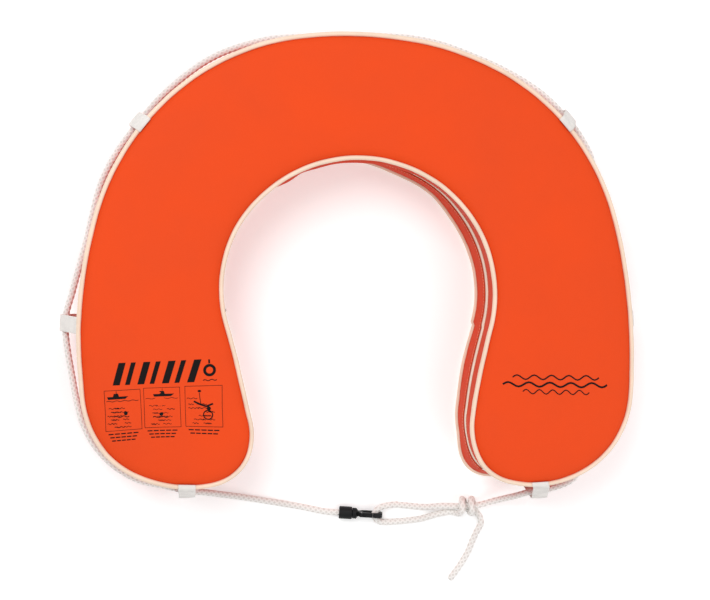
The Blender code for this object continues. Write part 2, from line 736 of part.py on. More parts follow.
def arc_points(centre, radius, start, end, facets):
    """Arc in the hook's plane, angles in degrees from along the hook towards the gate."""
    points = []
    for i in range(facets + 1):
        a = math.radians(start + (end - start) * i / facets)
        points.append((centre[0] + radius * math.cos(a), centre[1] + radius * math.sin(a)))
    return points


def hook_outline():
    """C-shaped hook: neck, lower arm, nose and the lug that carries the gate."""
    tall = HOOK_HALF_HEIGHT
    eye = HOOK_EYE_HALF_HEIGHT
    outer = HOOK_NOSE_BEND
    inner = HOOK_EYE_BEND
    back = HOOK_EYE_START
    points = [(COLLAR_END - 0.001, -HOOK_NECK_HALF), (COLLAR_NECK, -HOOK_NECK_HALF)]
    points += arc_points(HOOK_HEEL, HOOK_HEEL_BEND, 200.0, 270.0, 4)
    points += arc_points((HOOK_TIP - outer, -tall + outer), outer, 270.0, 360.0, 6)
    points += arc_points((HOOK_TIP - outer, tall - outer), outer, 0.0, 90.0, 6)
    points += [(HOOK_MOUTH_END, tall), (HOOK_MOUTH_END, eye)]
    points += arc_points((HOOK_EYE_END - inner, eye - inner), inner, 90.0, 0.0, 4)
    points += arc_points((HOOK_EYE_END - inner, -eye + inner), inner, 0.0, -90.0, 4)
    points += arc_points((back + inner, -eye + inner), inner, 270.0, 180.0, 4)
    points += [(back, GATE_RELIEF)]
    points += arc_points(GATE_PIVOT, GATE_KNUCKLE_RADIUS, -100.0, 135.0, 10)
    points += [(COLLAR_NECK, HOOK_NECK_HALF), (COLLAR_END - 0.001, HOOK_NECK_HALF)]
    return points


def gate_outline():
    """Gate round its own pivot: round knuckle, straight bar to the mouth."""
    half = GATE_HALF_HEIGHT
    end = GATE_END - GATE_PIVOT[0]
    edge = GATE_EDGE
    points = arc_points((0.0, 0.0), GATE_KNUCKLE_RADIUS, 66.0, 294.0, 10)
    points += [(end - edge, -half), (end, -half + edge), (end, half - edge), (end - edge, half)]
    return points


def build_hook(collection, helpers):
    """Rope sleeve, hook body, sprung gate and the gate's pin."""
    plastic = (BLACK_PLASTIC, 0.4, 0.0)
    frame = hook_frame()
    root = add_empty("snap_hook_frame", collection, frame)
    along = Matrix.Rotation(math.pi / 2.0, 4, "Y")
    upright = Matrix.Rotation(math.pi / 2.0, 4, "X")
    pivot = Matrix.Translation((GATE_PIVOT[0], 0.0, GATE_PIVOT[1]))

    sleeve = add_part("hook_sleeve", profile_mesh("hook_sleeve", sleeve_profile(), True),
                      collection, plastic)
    turn_profile(sleeve)
    shape = curve_as_mesh(flat_outline("hook_body", hook_outline(), HOOK_HALF_WIDTH))
    shape.transform(upright)
    body = add_part("hook_body", shape, collection, plastic)
    collar = add_helper("hook_collar", profile_mesh("hook_collar", collar_profile(), False), helpers)
    turn_profile(collar)
    collar.matrix_world = frame @ along
    add_boolean(body, collar, "UNION")
    shape = curve_as_mesh(flat_outline("hook_gate", gate_outline(), HOOK_HALF_WIDTH))
    shape.transform(upright)
    gate = add_part("hook_gate", shape, collection, plastic)
    pin = add_part("hook_gate_pin", cross_cylinder("hook_gate_pin", GATE_PIN_RADIUS,
                                                   -HOOK_HALF_WIDTH, HOOK_HALF_WIDTH),
                   collection, (STEEL, 0.3, 1.0))

    reach = HOOK_HALF_WIDTH + CUT_OVERRUN
    knuckle = GATE_KNUCKLE_SLOT_RADIUS
    cutters = (("cheek_left", knuckle, TONGUE_HALF, reach, (body,)),
               ("cheek_right", knuckle, -reach, -TONGUE_HALF, (body,)),
               ("gate_slot", knuckle, -GATE_SLOT_HALF, GATE_SLOT_HALF, (gate,)),
               ("pin_bore", GATE_PIN_BORE, -reach, reach, (body, gate)))
    for name, radius, low, high, targets in cutters:
        cutter = add_helper(name, cross_cylinder(name, radius, low, high), helpers)
        cutter.matrix_world = frame @ pivot
        for target in targets:
            add_boolean(target, cutter, "DIFFERENCE")
    for obj, place in ((sleeve, along), (body, Matrix.Identity(4)), (gate, pivot), (pin, pivot)):
        obj.parent = root
        obj.matrix_local = place


# ---------------------------------------------------------------- rope
def smooth_curve(route):
    """Catmull-Rom curve through the route, as a dense list of points."""
    points = [Vector(p) for p in route]
    points = [2.0 * points[0] - points[1]] + points + [2.0 * points[-1] - points[-2]]
    dense = []
    for i in range(1, len(points) - 2):
        a, b, c, d = points[i - 1:i + 3]
        for k in range(CURVE_SAMPLES):
            t = k / CURVE_SAMPLES
            dense.append(0.5 * (2.0 * b + (c - a) * t + (2.0 * a - 5.0 * b + 4.0 * c - d) * t * t
                                + (3.0 * b - 3.0 * c + d - a) * t * t * t))
    dense.append(points[-2])
    return dense


def even_points(dense, step):
    """Points at even spacing along a dense curve."""
    lengths = [0.0]
    for a, b in zip(dense, dense[1:]):
        lengths.append(lengths[-1] + (b - a).length)
    count = max(2, round(lengths[-1] / step))
    out = []
    j = 0
    for i in range(count + 1):
        goal = lengths[-1] * i / count
        while j < len(dense) - 2 and lengths[j + 1] < goal:
            j += 1
        t = (goal - lengths[j]) / (lengths[j + 1] - lengths[j])
        out.append(dense[j].lerp(dense[j + 1], t))
    return out


def cut_runs(points, marks):
    """Split a line in the middle of the marked segments, leaving a small gap at each."""
    runs = []
    run = [points[0]]
    for i in range(len(points) - 1):
        if i in marks:
            middle = (points[i] + points[i + 1]) / 2.0
            back = (points[i + 1] - points[i]).normalized() * ROPE_JOIN_GAP / 2.0
            runs.append(run + [middle - back])
            run = [middle + back]
        run.append(points[i + 1])
    return runs + [run]


def knot_point(share):
    """Point of the tail's two slanting turns round the standing rope, ending under it."""
    turned = share * share * (2.0 - share)
    a = math.radians(KNOT_START_ANGLE + KNOT_TURN * turned)
    settled = min(1.0, 3.0 * share) * min(1.0, 5.0 * (1.0 - share))
    x = (KNOT_START + KNOT_RUN_IN * (1.0 - (1.0 - share) ** 4)
         + KNOT_PITCH * abs(KNOT_TURN) / 360.0 * turned + KNOT_TILT * math.cos(a) * settled)
    radius = KNOT_COIL_RADIUS + KNOT_FLARE * max(0.0, 1.0 - 4.0 * share) ** 2
    return Vector(KNOT_CENTRE) + Vector((x, radius * math.cos(a), radius * math.sin(a)))


def rope_runs():
    """Points of the main run, the bight, the knot's turns and the tail, in rope order."""
    frame = hook_frame()
    start = [frame @ Vector((x, 0.0, 0.0)) for x in SLEEVE_RUN]
    around = [at_rim(*point) for point in RIM_RUN]
    eye = [frame @ Vector(point) for point in BIGHT_EYE]
    coil = [knot_point(i / KNOT_POINTS) for i in range(KNOT_POINTS + 1)]
    first = start + LEFT_RUN + around + RIGHT_RUN
    second = first + BIGHT_OUT + eye + BIGHT_BACK
    dense = smooth_curve(second + coil + TAIL_RUN)
    split = CURVE_SAMPLES * (len(first) - 1)
    long_run = even_points(dense[:split + 1], ROPE_STEP)
    rest = even_points(dense[split:], SHORT_STEP)
    coil_start = Vector(coil[0])
    coil_end = Vector(coil[-1])
    marks = [min(range(len(rest)), key=lambda i: (rest[i] - place).length)
             for place in (coil_start, coil_end)]
    gap = (rest[1] - rest[0]).normalized() * ROPE_JOIN_GAP
    rest[0] = rest[0] + gap
    return [long_run] + cut_runs(rest, marks)


def build_rope(collection):
    """One grab rope, in runs, and the melted stopper that holds its end."""
    names = ("rope_main", "rope_bight", "rope_knot", "rope_tail")
    for name, points in zip(names, rope_runs()):
        add_part(name, tube(name, points, ROPE_RADIUS), collection, (ROPE_WHITE, 0.85, 0.0))
    edge = STOPPER_EDGE
    end = STOPPER_START + STOPPER_LENGTH
    profile = ((0.0, end), (STOPPER_RADIUS - edge, end), (STOPPER_RADIUS, end - edge),
               (STOPPER_RADIUS, STOPPER_START + edge), (STOPPER_RADIUS - edge, STOPPER_START),
               (0.0, STOPPER_START))
    stopper = add_part("rope_stopper", profile_mesh("rope_stopper", profile, False), collection,
                       (ROPE_MELTED, 0.5, 0.0))
    turn_profile(stopper)
    stopper.matrix_world = hook_frame() @ Matrix.Rotation(math.pi / 2.0, 4, "Y")


def main():
    """Build the whole lifebuoy."""
    empty_scene()
    parts = make_collection("horseshoe_lifebuoy")
    helpers = make_collection("cutters")
    build_cover(parts)
    build_zip_rows(parts)
    build_zip_stops(parts)
    build_slider(parts, helpers)
    build_loops(parts)
    build_hook(parts, helpers)
    build_rope(parts)


main()
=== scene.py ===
import math

import bmesh
import bpy
import numpy as np
from mathutils import Matrix, Vector


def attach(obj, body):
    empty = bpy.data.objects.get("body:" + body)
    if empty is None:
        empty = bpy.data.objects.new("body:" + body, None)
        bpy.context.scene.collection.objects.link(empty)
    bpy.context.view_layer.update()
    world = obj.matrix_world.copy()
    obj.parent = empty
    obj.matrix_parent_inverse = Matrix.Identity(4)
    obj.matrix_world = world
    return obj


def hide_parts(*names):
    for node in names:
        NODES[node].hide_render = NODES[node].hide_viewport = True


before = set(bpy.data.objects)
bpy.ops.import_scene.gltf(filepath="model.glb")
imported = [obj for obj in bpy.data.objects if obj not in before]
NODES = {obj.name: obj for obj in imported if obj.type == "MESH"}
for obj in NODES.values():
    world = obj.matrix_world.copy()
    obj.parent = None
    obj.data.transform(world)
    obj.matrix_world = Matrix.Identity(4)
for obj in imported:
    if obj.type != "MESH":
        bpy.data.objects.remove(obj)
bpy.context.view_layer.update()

BUOY = "buoy"

ROPE_RADIUS = 0.004
ROPE_PLAITS = 4
PLAIT_LENGTH = 0.0265

# ------------------------------------------------------------------ camera
CAMERA_PLACE = (-0.18694, 0.04417, 1.857)
CAMERA_RIGHT = (0.994660, -0.000601, 0.103205)
CAMERA_UP = (0.005094, 0.999050, -0.043280)
CAMERA_BACK = (-0.103081, 0.043574, 0.993718)
CAMERA_LENS = 75.67


def make_camera():
    data = bpy.data.cameras.new("camera")
    data.lens = CAMERA_LENS
    data.sensor_width = 36.0
    data.clip_start = 0.05
    data.clip_end = 20.0
    camera = bpy.data.objects.new("camera", data)
    bpy.context.scene.collection.objects.link(camera)
    axes = Matrix((CAMERA_RIGHT, CAMERA_UP, CAMERA_BACK)).transposed()
    camera.matrix_world = Matrix.Translation(CAMERA_PLACE) @ axes.to_4x4()
    bpy.context.scene.camera = camera


make_camera()

# ------------------------------------------------------------------ outline of the seam
CROWN_Y = 0.2801
OUTER_ARCS = [(0.503, 7.0), (0.2925, 68.0), (0.613, 19.5), (0.119, 100.5)]
TIP_INNER_SWEEP = 88.9
RING_RADIUS = 0.1623
RING_CENTRE_Y = -0.0271
RING_HALF_ANGLE = 103.9
BACK_PIPING_Z = 0.0031
FRONT_PIPING_Z = 0.107
PIPING_RADIUS = 0.0028
ZIP_Z = 0.055
ZIP_OPEN = 0.0100
ZIP_INSET = 0.0015
ZIP_START_TURN = 212.0
GUSSET_LOW = 0.0048
GUSSET_HIGH = 0.1052
STATION_STEP = 0.004


def arc_move(start, end):
    a, b = math.radians(start), math.radians(end)
    return np.array((math.sin(b) - math.sin(a), math.cos(b) - math.cos(a)))


def ring_point(angle):
    a = math.radians(angle)
    return np.array((RING_RADIUS * math.sin(a), RING_CENTRE_Y + RING_RADIUS * math.cos(a)))


def outer_chain():
    chain = []
    point = np.array((0.0, CROWN_Y))
    turn = 0.0
    for radius, sweep in OUTER_ARCS:
        chain.append((point.copy(), turn, radius, sweep))
        point = point + radius * arc_move(turn, turn + sweep)
        turn += sweep
    end = turn + TIP_INNER_SWEEP
    gap = ring_point(RING_HALF_ANGLE) - point
    curve = arc_move(turn, end)
    leg = (math.cos(math.radians(end)), -math.sin(math.radians(end)))
    radius = (gap[0] * leg[1] - gap[1] * leg[0]) / (curve[0] * leg[1] - curve[1] * leg[0])
    chain.append((point.copy(), turn, radius, TIP_INNER_SWEEP))
    return chain


CHAIN = outer_chain()
LEG_TURN = CHAIN[-1][1] + TIP_INNER_SWEEP


def rim_station(turn):
    """Point and outward normal of the right half at a clockwise turn from the crown."""
    for start, first, radius, sweep in CHAIN:
        if turn <= first + sweep + 1e-9:
            break
    a = math.radians(turn)
    return start + radius * arc_move(first, turn), np.array((math.sin(a), math.cos(a)))


def at_rim(turn, reach, height, along=0.0):
    point, normal = rim_station(abs(turn))
    flat = point + normal * reach + np.array((normal[1], -normal[0])) * along
    return np.array((-flat[0] if turn < 0 else flat[0], flat[1], height))


class Rim:
    """Dense stations once round the horseshoe, clockwise from the crown."""

    def __init__(self, step):
        rows = []
        for _, first, radius, sweep in CHAIN:
            count = max(1, round(radius * math.radians(sweep) / step))
            for i in range(count):
                turn = first + sweep * i / count
                point, normal = rim_station(turn)
                rows.append((*point, *normal, turn, 999.0))
        a, normal = rim_station(LEG_TURN)
        b = ring_point(RING_HALF_ANGLE)
        count = round(float(np.hypot(*(b - a))) / step)
        for i in range(count):
            rows.append((*(a + (b - a) * i / count), *normal, LEG_TURN, 999.0))
        count = round(RING_RADIUS * math.radians(RING_HALF_ANGLE) / step)
        for i in range(count + 1):
            angle = RING_HALF_ANGLE * (1.0 - i / count)
            r = math.radians(angle)
            rows.append((*ring_point(angle), -math.sin(r), -math.cos(r), 999.0, angle))
        right = np.array(rows)
        left = right[1:-1][::-1] * np.array((-1, 1, -1, 1, 1, 1))
        left[:, 4] = np.where(left[:, 4] < 900, -left[:, 4], 999.0)
        left[:, 5] = np.where(left[:, 5] < 900, -left[:, 5], 999.0)
        every = np.vstack((right, left))
        self.point = every[:, 0:2]
        self.normal = every[:, 2:4]
        self.turn = every[:, 4]
        self.ring = every[:, 5]
        steps = np.hypot(*(np.roll(self.point, -1, axis=0) - self.point).T)
        self.length = np.concatenate(((0.0,), np.cumsum(steps)))
        self.zip_first = int(np.argmin(np.abs(self.turn - ZIP_START_TURN)))
        self.zip_last = len(right) - 1 + round(RING_RADIUS * math.radians(RING_HALF_ANGLE) / step)


RIM = Rim(STATION_STEP)
COUNT = len(RIM.point)


def waves(coordinate, period, seed, terms=5):
    """Smooth repeatable noise along one coordinate, about -1 to 1."""
    rng = np.random.default_rng(seed)
    total = np.zeros_like(coordinate, dtype=float)
    for _ in range(terms):
        rate = 2.0 * math.pi / (period * rng.uniform(0.6, 1.7))
        total += rng.uniform(0.5, 1.0) * np.sin(coordinate * rate + rng.uniform(0.0, 6.28))
    return total / (0.55 * terms)


def plane_waves(x, y, period, seed, terms=9):
    """Smooth repeatable noise over a plane, about -1 to 1."""
    rng = np.random.default_rng(seed)
    total = np.zeros_like(x, dtype=float)
    for _ in range(terms):
        a = rng.uniform(0.0, 6.28)
        rate = 2.0 * math.pi / (period * rng.uniform(0.6, 1.8))
        total += np.sin((x * math.cos(a) + y * math.sin(a)) * rate + rng.uniform(0.0, 6.28))
    return total / (0.5 * terms)


def hump(value, centre, half_width):
    """1 at the centre, falling smoothly to 0 at half_width from it."""
    t = np.clip(np.abs(value - centre) / half_width, 0.0, 1.0)
    return 0.5 + 0.5 * np.cos(math.pi * t)


# How far the soft back seam has moved outwards from the straight-down position: it is pulled in
# under the top left of the hole, and squeezed out down the hole's right side and at the right tip.
BACK_SHIFT = (-0.0055 * hump(RIM.ring, -12.0, 37.0) + 0.0030 * hump(RIM.ring, 20.0, 22.0)
              + 0.0050 * hump(RIM.ring, 62.0, 42.0) + 0.0030 * hump(RIM.ring, 104.0, 30.0)
              + 0.0024 * hump(np.hypot(RIM.point[:, 0] - 0.142, RIM.point[:, 1] + 0.115), 0.0, 0.06)
              + 0.0118 * hump(RIM.turn, 212.0, 48.0) + 0.0006 * waves(RIM.length[:-1], 0.11, 3))
# Slack of the gusset between its seams.
SLACK = (0.0005 + 0.0052 * hump(RIM.ring, -4.0, 62.0) + 0.0027 * hump(RIM.ring, -31.0, 8.0)
         + 0.0007 * np.where(RIM.ring < 900, waves(RIM.length[:-1], 0.045, 5), 0.0))


# The soft cover isn't quite even: places in plan, how far each effect spreads, and its move.
COVER_SETTLING = (((-0.232, -0.235), 0.050, (0.0008, 0.0048)),
                  ((-0.147, -0.222), 0.038, (0.0028, -0.0030)),
                  ((-0.310, -0.150), 0.050, (0.0034, 0.0008)),
                  ((0.110, 0.255), 0.075, (-0.0008, -0.0034)),
                  ((-0.165, 0.230), 0.080, (-0.0008, 0.0012)),
                  ((-0.165, 0.055), 0.050, (-0.0024, 0.0008)),
                  ((-0.148, -0.095), 0.040, (0.0026, 0.0010)),
                  ((0.134, -0.196), 0.034, (0.0058, -0.0002)))
LEG_SPREAD = (((0.290, -0.185), 0.062, (0.0026, -0.0042)),)


def wall_shift(index, height):
    """Outward move of the side wall at a height: all of it at the back seam, none in front."""
    share = np.clip(1.0 - (height - GUSSET_LOW) / (GUSSET_HIGH - GUSSET_LOW), 0.0, 1.0) ** 2
    return BACK_SHIFT[index] * share


def settle(points, effects=COVER_SETTLING + LEG_SPREAD, share=1.0):
    """Points (..., 2 or 3) moved in plan by the effects, in whole or in part."""
    moved = np.array(points, dtype=float)
    base = moved[..., :2].copy()
    for (x, y), spread, move in effects:
        squared = (base[..., 0] - x) ** 2 + (base[..., 1] - y) ** 2
        weight = np.exp(-squared / (2.0 * spread ** 2)) * share
        moved[..., 0] += weight * move[0]
        moved[..., 1] += weight * move[1]
    return moved


# ------------------------------------------------------------------ mesh helpers
def new_object(name, mesh, body=BUOY):
    obj = bpy.data.objects.new(name, mesh)
    bpy.context.scene.collection.objects.link(obj)
    if body:
        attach(obj, body)
    return obj


def grid_mesh(name, points, u_lengths, v_lengths, wrap_u=False, wrap_v=False, cap=False):
    """Smooth quad grid from an array (u, v, xyz), with lengths in metres as its UVs."""
    nu, nv, _ = points.shape
    lu = nu if wrap_u else nu - 1
    lv = nv if wrap_v else nv - 1
    i, j = np.meshgrid(np.arange(lu), np.arange(lv), indexing="ij")
    i2, j2 = (i + 1) % nu, (j + 1) % nv
    faces = np.stack((i * nv + j, i * nv + j2, i2 * nv + j2, i2 * nv + j), -1).reshape(-1, 4)
    uv = np.stack((np.stack((u_lengths[i], v_lengths[j]), -1),
                   np.stack((u_lengths[i], v_lengths[j + 1]), -1),
                   np.stack((u_lengths[i + 1], v_lengths[j + 1]), -1),
                   np.stack((u_lengths[i + 1], v_lengths[j]), -1)), 2).reshape(-1, 2)
    polygons = faces.tolist()
    uv = uv.tolist()
    if cap:
        for row in (list(range(nv))[::-1], list(range((nu - 1) * nv, nu * nv))):
            polygons.append(row)
            uv += [(0.0, 0.0)] * nv
    mesh = bpy.data.meshes.new(name)
    mesh.from_pydata(points.reshape(-1, 3).tolist(), [], polygons)
    layer = mesh.uv_layers.new(name="metres")
    layer.data.foreach_set("uv", np.array(uv, dtype=np.float32).ravel())
    mesh.polygons.foreach_set("use_smooth", [True] * len(mesh.polygons))
    mesh.update()
    return mesh


def face_outwards(mesh):
    bm = bmesh.new()
    bm.from_mesh(mesh)
    bmesh.ops.recalc_face_normals(bm, faces=bm.faces)
    bm.to_mesh(mesh)
    bm.free()


def beside(point, normal, reach, height):
    """Points at a reach outwards from stations, at one height or at one for each of them."""
    flat = point + normal * np.reshape(reach, (-1, 1))
    return np.column_stack((flat, np.broadcast_to(height, len(flat))))


def circle_angles(count):
    return np.linspace(0.0, 2.0 * math.pi, count, endpoint=False)


def add_piece(name, mesh, material, slot, *nodes):
    """Object of one material that stands for nodes of the frame, if any are named."""
    mesh.materials.append(material)
    obj = new_object(name, mesh)
    if nodes:
        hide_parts(*nodes)
    return obj


def add_solidify(obj, thickness):
    modifier = obj.modifiers.new("thickness", "SOLIDIFY")
    modifier.thickness = thickness
    modifier.offset = -1.0
    modifier.use_even_offset = True


def add_bevel(obj, width):
    modifier = obj.modifiers.new("soft edges", "BEVEL")
    modifier.width = width
    modifier.segments = 2
    modifier.limit_method = "ANGLE"
    modifier.angle_limit = math.radians(35.0)


# ------------------------------------------------------------------ materials
class Look:
    """A procedural material under construction."""

    def __init__(self, name, roughness=0.6, metallic=0.0, **sockets):
        self.material = bpy.data.materials.new(name)
        self.material.use_nodes = True
        self.tree = self.material.node_tree
        self.shader = self.tree.nodes["Principled BSDF"]
        self.shader.inputs["Roughness"].default_value = roughness
        self.shader.inputs["Metallic"].default_value = metallic
        for key, value in sockets.items():
            self.shader.inputs[key.replace("_", " ")].default_value = value
        self.place = self.tree.nodes.new("ShaderNodeTexCoord")

    def feed(self, socket, value):
        if isinstance(value, bpy.types.NodeSocket):
            self.tree.links.new(value, socket)
        else:
            socket.default_value = value

    def node(self, kind, settings=None, **inputs):
        """First output of a new node; an input is given by its name, or by its number as i0, i1..."""
        node = self.tree.nodes.new(kind)
        for key, value in (settings or {}).items():
            setattr(node, key, value)
        for key, value in inputs.items():
            name = int(key[1:]) if key[0] == "i" and key[1:].isdigit() else key.replace("_", " ")
            self.feed(node.inputs[name], value)
        return node.outputs[0]

    def math(self, operation, a, b=0.0, c=0.0):
        return self.node("ShaderNodeMath", settings={"operation": operation}, i0=a, i1=b, i2=c)

    def noise(self, scale, detail=3.0, rough=0.55):
        return self.node("ShaderNodeTexNoise", Vector=self.place.outputs["Object"], Scale=scale,
                         Detail=detail, Roughness=rough)

    def spread(self, value, low, high, from_low=0.3, from_high=0.7):
        return self.node("ShaderNodeMapRange", i0=value, i1=from_low, i2=from_high, i3=low, i4=high)

    def stripes(self, axis, pitch, vector=None, lean=0.0):
        """Wave from 0 to 1 across an axis, with the given pitch in metres."""
        where = vector if vector is not None else self.place.outputs["Object"]
        split = self.tree.nodes.new("ShaderNodeSeparateXYZ")
        self.tree.links.new(where, split.inputs[0])
        value = split.outputs[axis]
        if lean:
            value = self.math("MULTIPLY_ADD", split.outputs[1 - axis], lean, value)
        phase = self.math("MULTIPLY", value, 2.0 * math.pi / pitch)
        return self.math("MULTIPLY_ADD", self.math("SINE", phase), 0.5, 0.5)

    def weave(self, pitch, vector=None):
        """Plain weave: threads of two directions that pass over and under each other."""
        a = self.stripes(0, pitch, vector)
        b = self.stripes(1, pitch, vector)
        over_a = self.stripes(0, 2.0 * pitch, vector)
        over_b = self.stripes(1, 2.0 * pitch, vector)
        checker = self.math("MULTIPLY", self.math("SUBTRACT", over_a, 0.5),
                            self.math("SUBTRACT", over_b, 0.5))
        turn = self.math("GREATER_THAN", checker, 0.0)
        return self.node("ShaderNodeMix", settings={"data_type": "FLOAT"}, i0=turn, i2=a, i3=b)

    def colour(self, low, high, factor):
        """Mix of two colours, each a socket or plain red, green and blue."""
        mix = self.tree.nodes.new("ShaderNodeMix")
        mix.data_type = "RGBA"
        self.feed(mix.inputs[0], factor)
        for socket, value in ((mix.inputs[6], low), (mix.inputs[7], high)):
            self.feed(socket, value if isinstance(value, bpy.types.NodeSocket) else (*value, 1.0))
        return mix.outputs[2]

    def tone(self, base, low, high, pattern):
        """Colour that wanders with a pattern between two shades of a base."""
        return self.colour(shade(base, low), shade(base, high), self.spread(pattern, 0.0, 1.0))

    def finish(self, colour=None, roughness=None, height=None, depth=0.0002, strength=0.6):
        if colour is not None:
            self.tree.links.new(colour, self.shader.inputs["Base Color"])
        if roughness is not None:
            self.tree.links.new(roughness, self.shader.inputs["Roughness"])
        if height is not None:
            bump = self.tree.nodes.new("ShaderNodeBump")
            bump.inputs["Strength"].default_value = strength
            bump.inputs["Distance"].default_value = depth
            self.tree.links.new(height, bump.inputs["Height"])
            self.tree.links.new(bump.outputs[0], self.shader.inputs["Normal"])
        return self.material


def shade(colour, factor):
    return tuple(c * factor for c in colour)


ORANGE = (0.80, 0.066, 0.008)
# Orange of the side walls: the front cloth's orange made darker, painted shade for walls that get less
# light.
SHADED_SIDE_ORANGE = (0.66, 0.042, 0.006)
SHEEN_ORANGE = (1.0, 0.32, 0.14, 1.0)
CREAM = (0.86, 0.66, 0.51)
ROPE_WHITE = (0.90, 0.87, 0.84)
WEBBING_WHITE = (0.84, 0.80, 0.76)
ZIP_CREAM = (0.86, 0.62, 0.48)
COIL_WHITE = (0.88, 0.74, 0.62)
BLACK = (0.0045, 0.0045, 0.0052)
INK = (0.006, 0.004, 0.004)
NICKEL = (0.60, 0.60, 0.61)
THREAD = (0.80, 0.36, 0.20)


def cloth_look(name, base, uv=False):
    """Coated plain weave, matt with a faint sheen and slow changes of tone."""
    look = Look(name, 0.66, Sheen_Weight=0.05, Sheen_Roughness=0.5, Sheen_Tint=SHEEN_ORANGE,
                Specular_IOR_Level=0.16)
    where = look.place.outputs["UV"] if uv else look.place.outputs["Object"]
    weave = look.weave(0.00062, where)
    slow = look.noise(9.0, 3.0, 0.6)
    fine = look.noise(900.0, 2.0, 0.6)
    tone = look.tone(base, 0.955, 1.03, slow)
    tone = look.colour(tone, shade(base, 0.80), look.spread(weave, 0.22, 0.0, 0.0, 0.45))
    tone = look.colour(tone, shade(base, 1.12), look.spread(fine, 0.0, 0.22, 0.5, 0.75))
    height = look.math("MULTIPLY_ADD", fine, 0.35, weave)
    rough = look.spread(slow, 0.56, 0.70)
    return look.finish(tone, rough, height, 0.00012, 0.55)


def piping_look():
    look = Look("piping_vinyl", 0.38, Specular_IOR_Level=0.5, Coat_Weight=0.08)
    slow = look.noise(30.0, 3.0)
    fine = look.noise(420.0, 3.0)
    tone = look.tone(CREAM, 0.93, 1.04, slow)
    tone = look.colour(tone, (0.62, 0.45, 0.33), look.spread(fine, 0.0, 0.18, 0.55, 0.8))
    return look.finish(tone, look.spread(slow, 0.33, 0.47), fine, 0.00015, 0.25)


def rope_look():
    look = Look("rope_braid", 0.78, Sheen_Weight=0.15, Specular_IOR_Level=0.25)
    uv = look.place.outputs["UV"]
    split = look.tree.nodes.new("ShaderNodeSeparateXYZ")
    look.tree.links.new(uv, split.inputs[0])
    crowns = []
    for sign in (1.0, -1.0):
        run = look.math("MULTIPLY", split.outputs[0], sign * 2.0 * math.pi * ROPE_PLAITS / PLAIT_LENGTH)
        phase = look.math("MULTIPLY_ADD", split.outputs[1], ROPE_PLAITS / ROPE_RADIUS, run)
        crowns.append(look.math("COSINE", phase))
    crown = look.math("MAXIMUM", crowns[0], crowns[1])
    fibre = look.stripes(0, 0.00042, uv, 0.8)
    crossing = look.stripes(0, 0.00042, uv, -0.8)
    fuzz = look.noise(1500.0, 2.0)
    slow = look.noise(14.0, 3.0)
    both = look.math("MULTIPLY", look.math("ADD", fibre, crossing), 0.5)
    tone = look.tone(ROPE_WHITE, 0.93, 1.05, slow)
    tone = look.colour(tone, shade(ROPE_WHITE, 0.82), look.spread(both, 0.25, 0.0, 0.1, 0.6))
    tone = look.colour(tone, (0.55, 0.49, 0.44), look.spread(fuzz, 0.0, 0.2, 0.55, 0.8))
    # Painted shade: the colour is darkened in the grooves between the plaits.
    tone = look.colour(tone, (0.56, 0.51, 0.47), look.spread(crown, 0.50, 0.0, -0.1, 0.55))
    return look.finish(tone, None, look.math("ADD", both, fuzz), 0.0001, 0.5)


def webbing_look():
    look = Look("webbing_weave", 0.72, Sheen_Weight=0.2, Specular_IOR_Level=0.35)
    uv = look.place.outputs["UV"]
    ribs = look.stripes(0, 0.0013, uv)
    threads = look.stripes(1, 0.0010, uv)
    slow = look.noise(60.0, 3.0)
    weave = look.math("MULTIPLY_ADD", threads, 0.5, ribs)
    tone = look.tone(WEBBING_WHITE, 0.90, 1.06, slow)
    tone = look.colour(tone, shade(WEBBING_WHITE, 0.68), look.spread(weave, 0.5, 0.0, 0.1, 0.9))
    return look.finish(tone, None, weave, 0.00025, 0.7)


def tape_look():
    look = Look("zip_tape_twill", 0.75, Sheen_Weight=0.15, Specular_IOR_Level=0.3)
    uv = look.place.outputs["UV"]
    twill = look.stripes(0, 0.0008, uv, 1.0)
    slow = look.noise(50.0)
    tone = look.tone(ZIP_CREAM, 0.93, 1.05, slow)
    tone = look.colour(tone, shade(ZIP_CREAM, 0.78), look.spread(twill, 0.35, 0.0, 0.1, 0.7))
    return look.finish(tone, None, twill, 0.00015, 0.6)


def coil_look():
    look = Look("zip_coil_nylon", 0.35, Specular_IOR_Level=0.5)
    slow = look.noise(80.0)
    tone = look.tone(COIL_WHITE, 0.92, 1.05, slow)
    return look.finish(tone, look.spread(slow, 0.28, 0.42), look.noise(900.0), 0.00008, 0.3)


def metal_look(name, base, low, high):
    look = Look(name, low, 1.0)
    scratch = look.noise(260.0, 4.0, 0.7)
    slow = look.noise(35.0)
    tone = look.tone(base, 0.80, 1.08, scratch)
    return look.finish(tone, look.spread(slow, low, high), scratch, 0.00006, 0.3)


def plastic_look():
    """Black moulded plastic: fine spark texture, rubbed greyer on its edges."""
    look = Look("hook_moulded_plastic", 0.46, Specular_IOR_Level=0.14)
    spark = look.noise(1300.0, 2.0)
    slow = look.noise(90.0, 3.0)
    edge = look.tree.nodes.new("ShaderNodeNewGeometry").outputs["Pointiness"]
    rubbed = look.spread(edge, 0.0, 0.5, 0.52, 0.62)
    tone = look.tone(BLACK, 0.75, 1.6, slow)
    tone = look.colour(tone, (0.022, 0.022, 0.025), rubbed)
    return look.finish(tone, look.spread(slow, 0.40, 0.54), spark, 0.00008, 0.35)


def ink_look():
    look = Look("screen_print_ink", 0.62, Specular_IOR_Level=0.12)
    weave = look.weave(0.00062)
    patchy = look.noise(700.0, 3.0, 0.7)
    tone = look.colour(INK, (0.030, 0.010, 0.008), look.spread(patchy, 0.0, 0.6, 0.55, 0.8))
    return look.finish(tone, None, weave, 0.00008, 0.4)


def thread_look():
    look = Look("sewing_thread", 0.6, Sheen_Weight=0.2)
    twist = look.noise(2500.0, 2.0)
    tone = look.tone(THREAD, 0.75, 1.1, twist)
    return look.finish(tone, None, twist, 0.0001, 0.5)


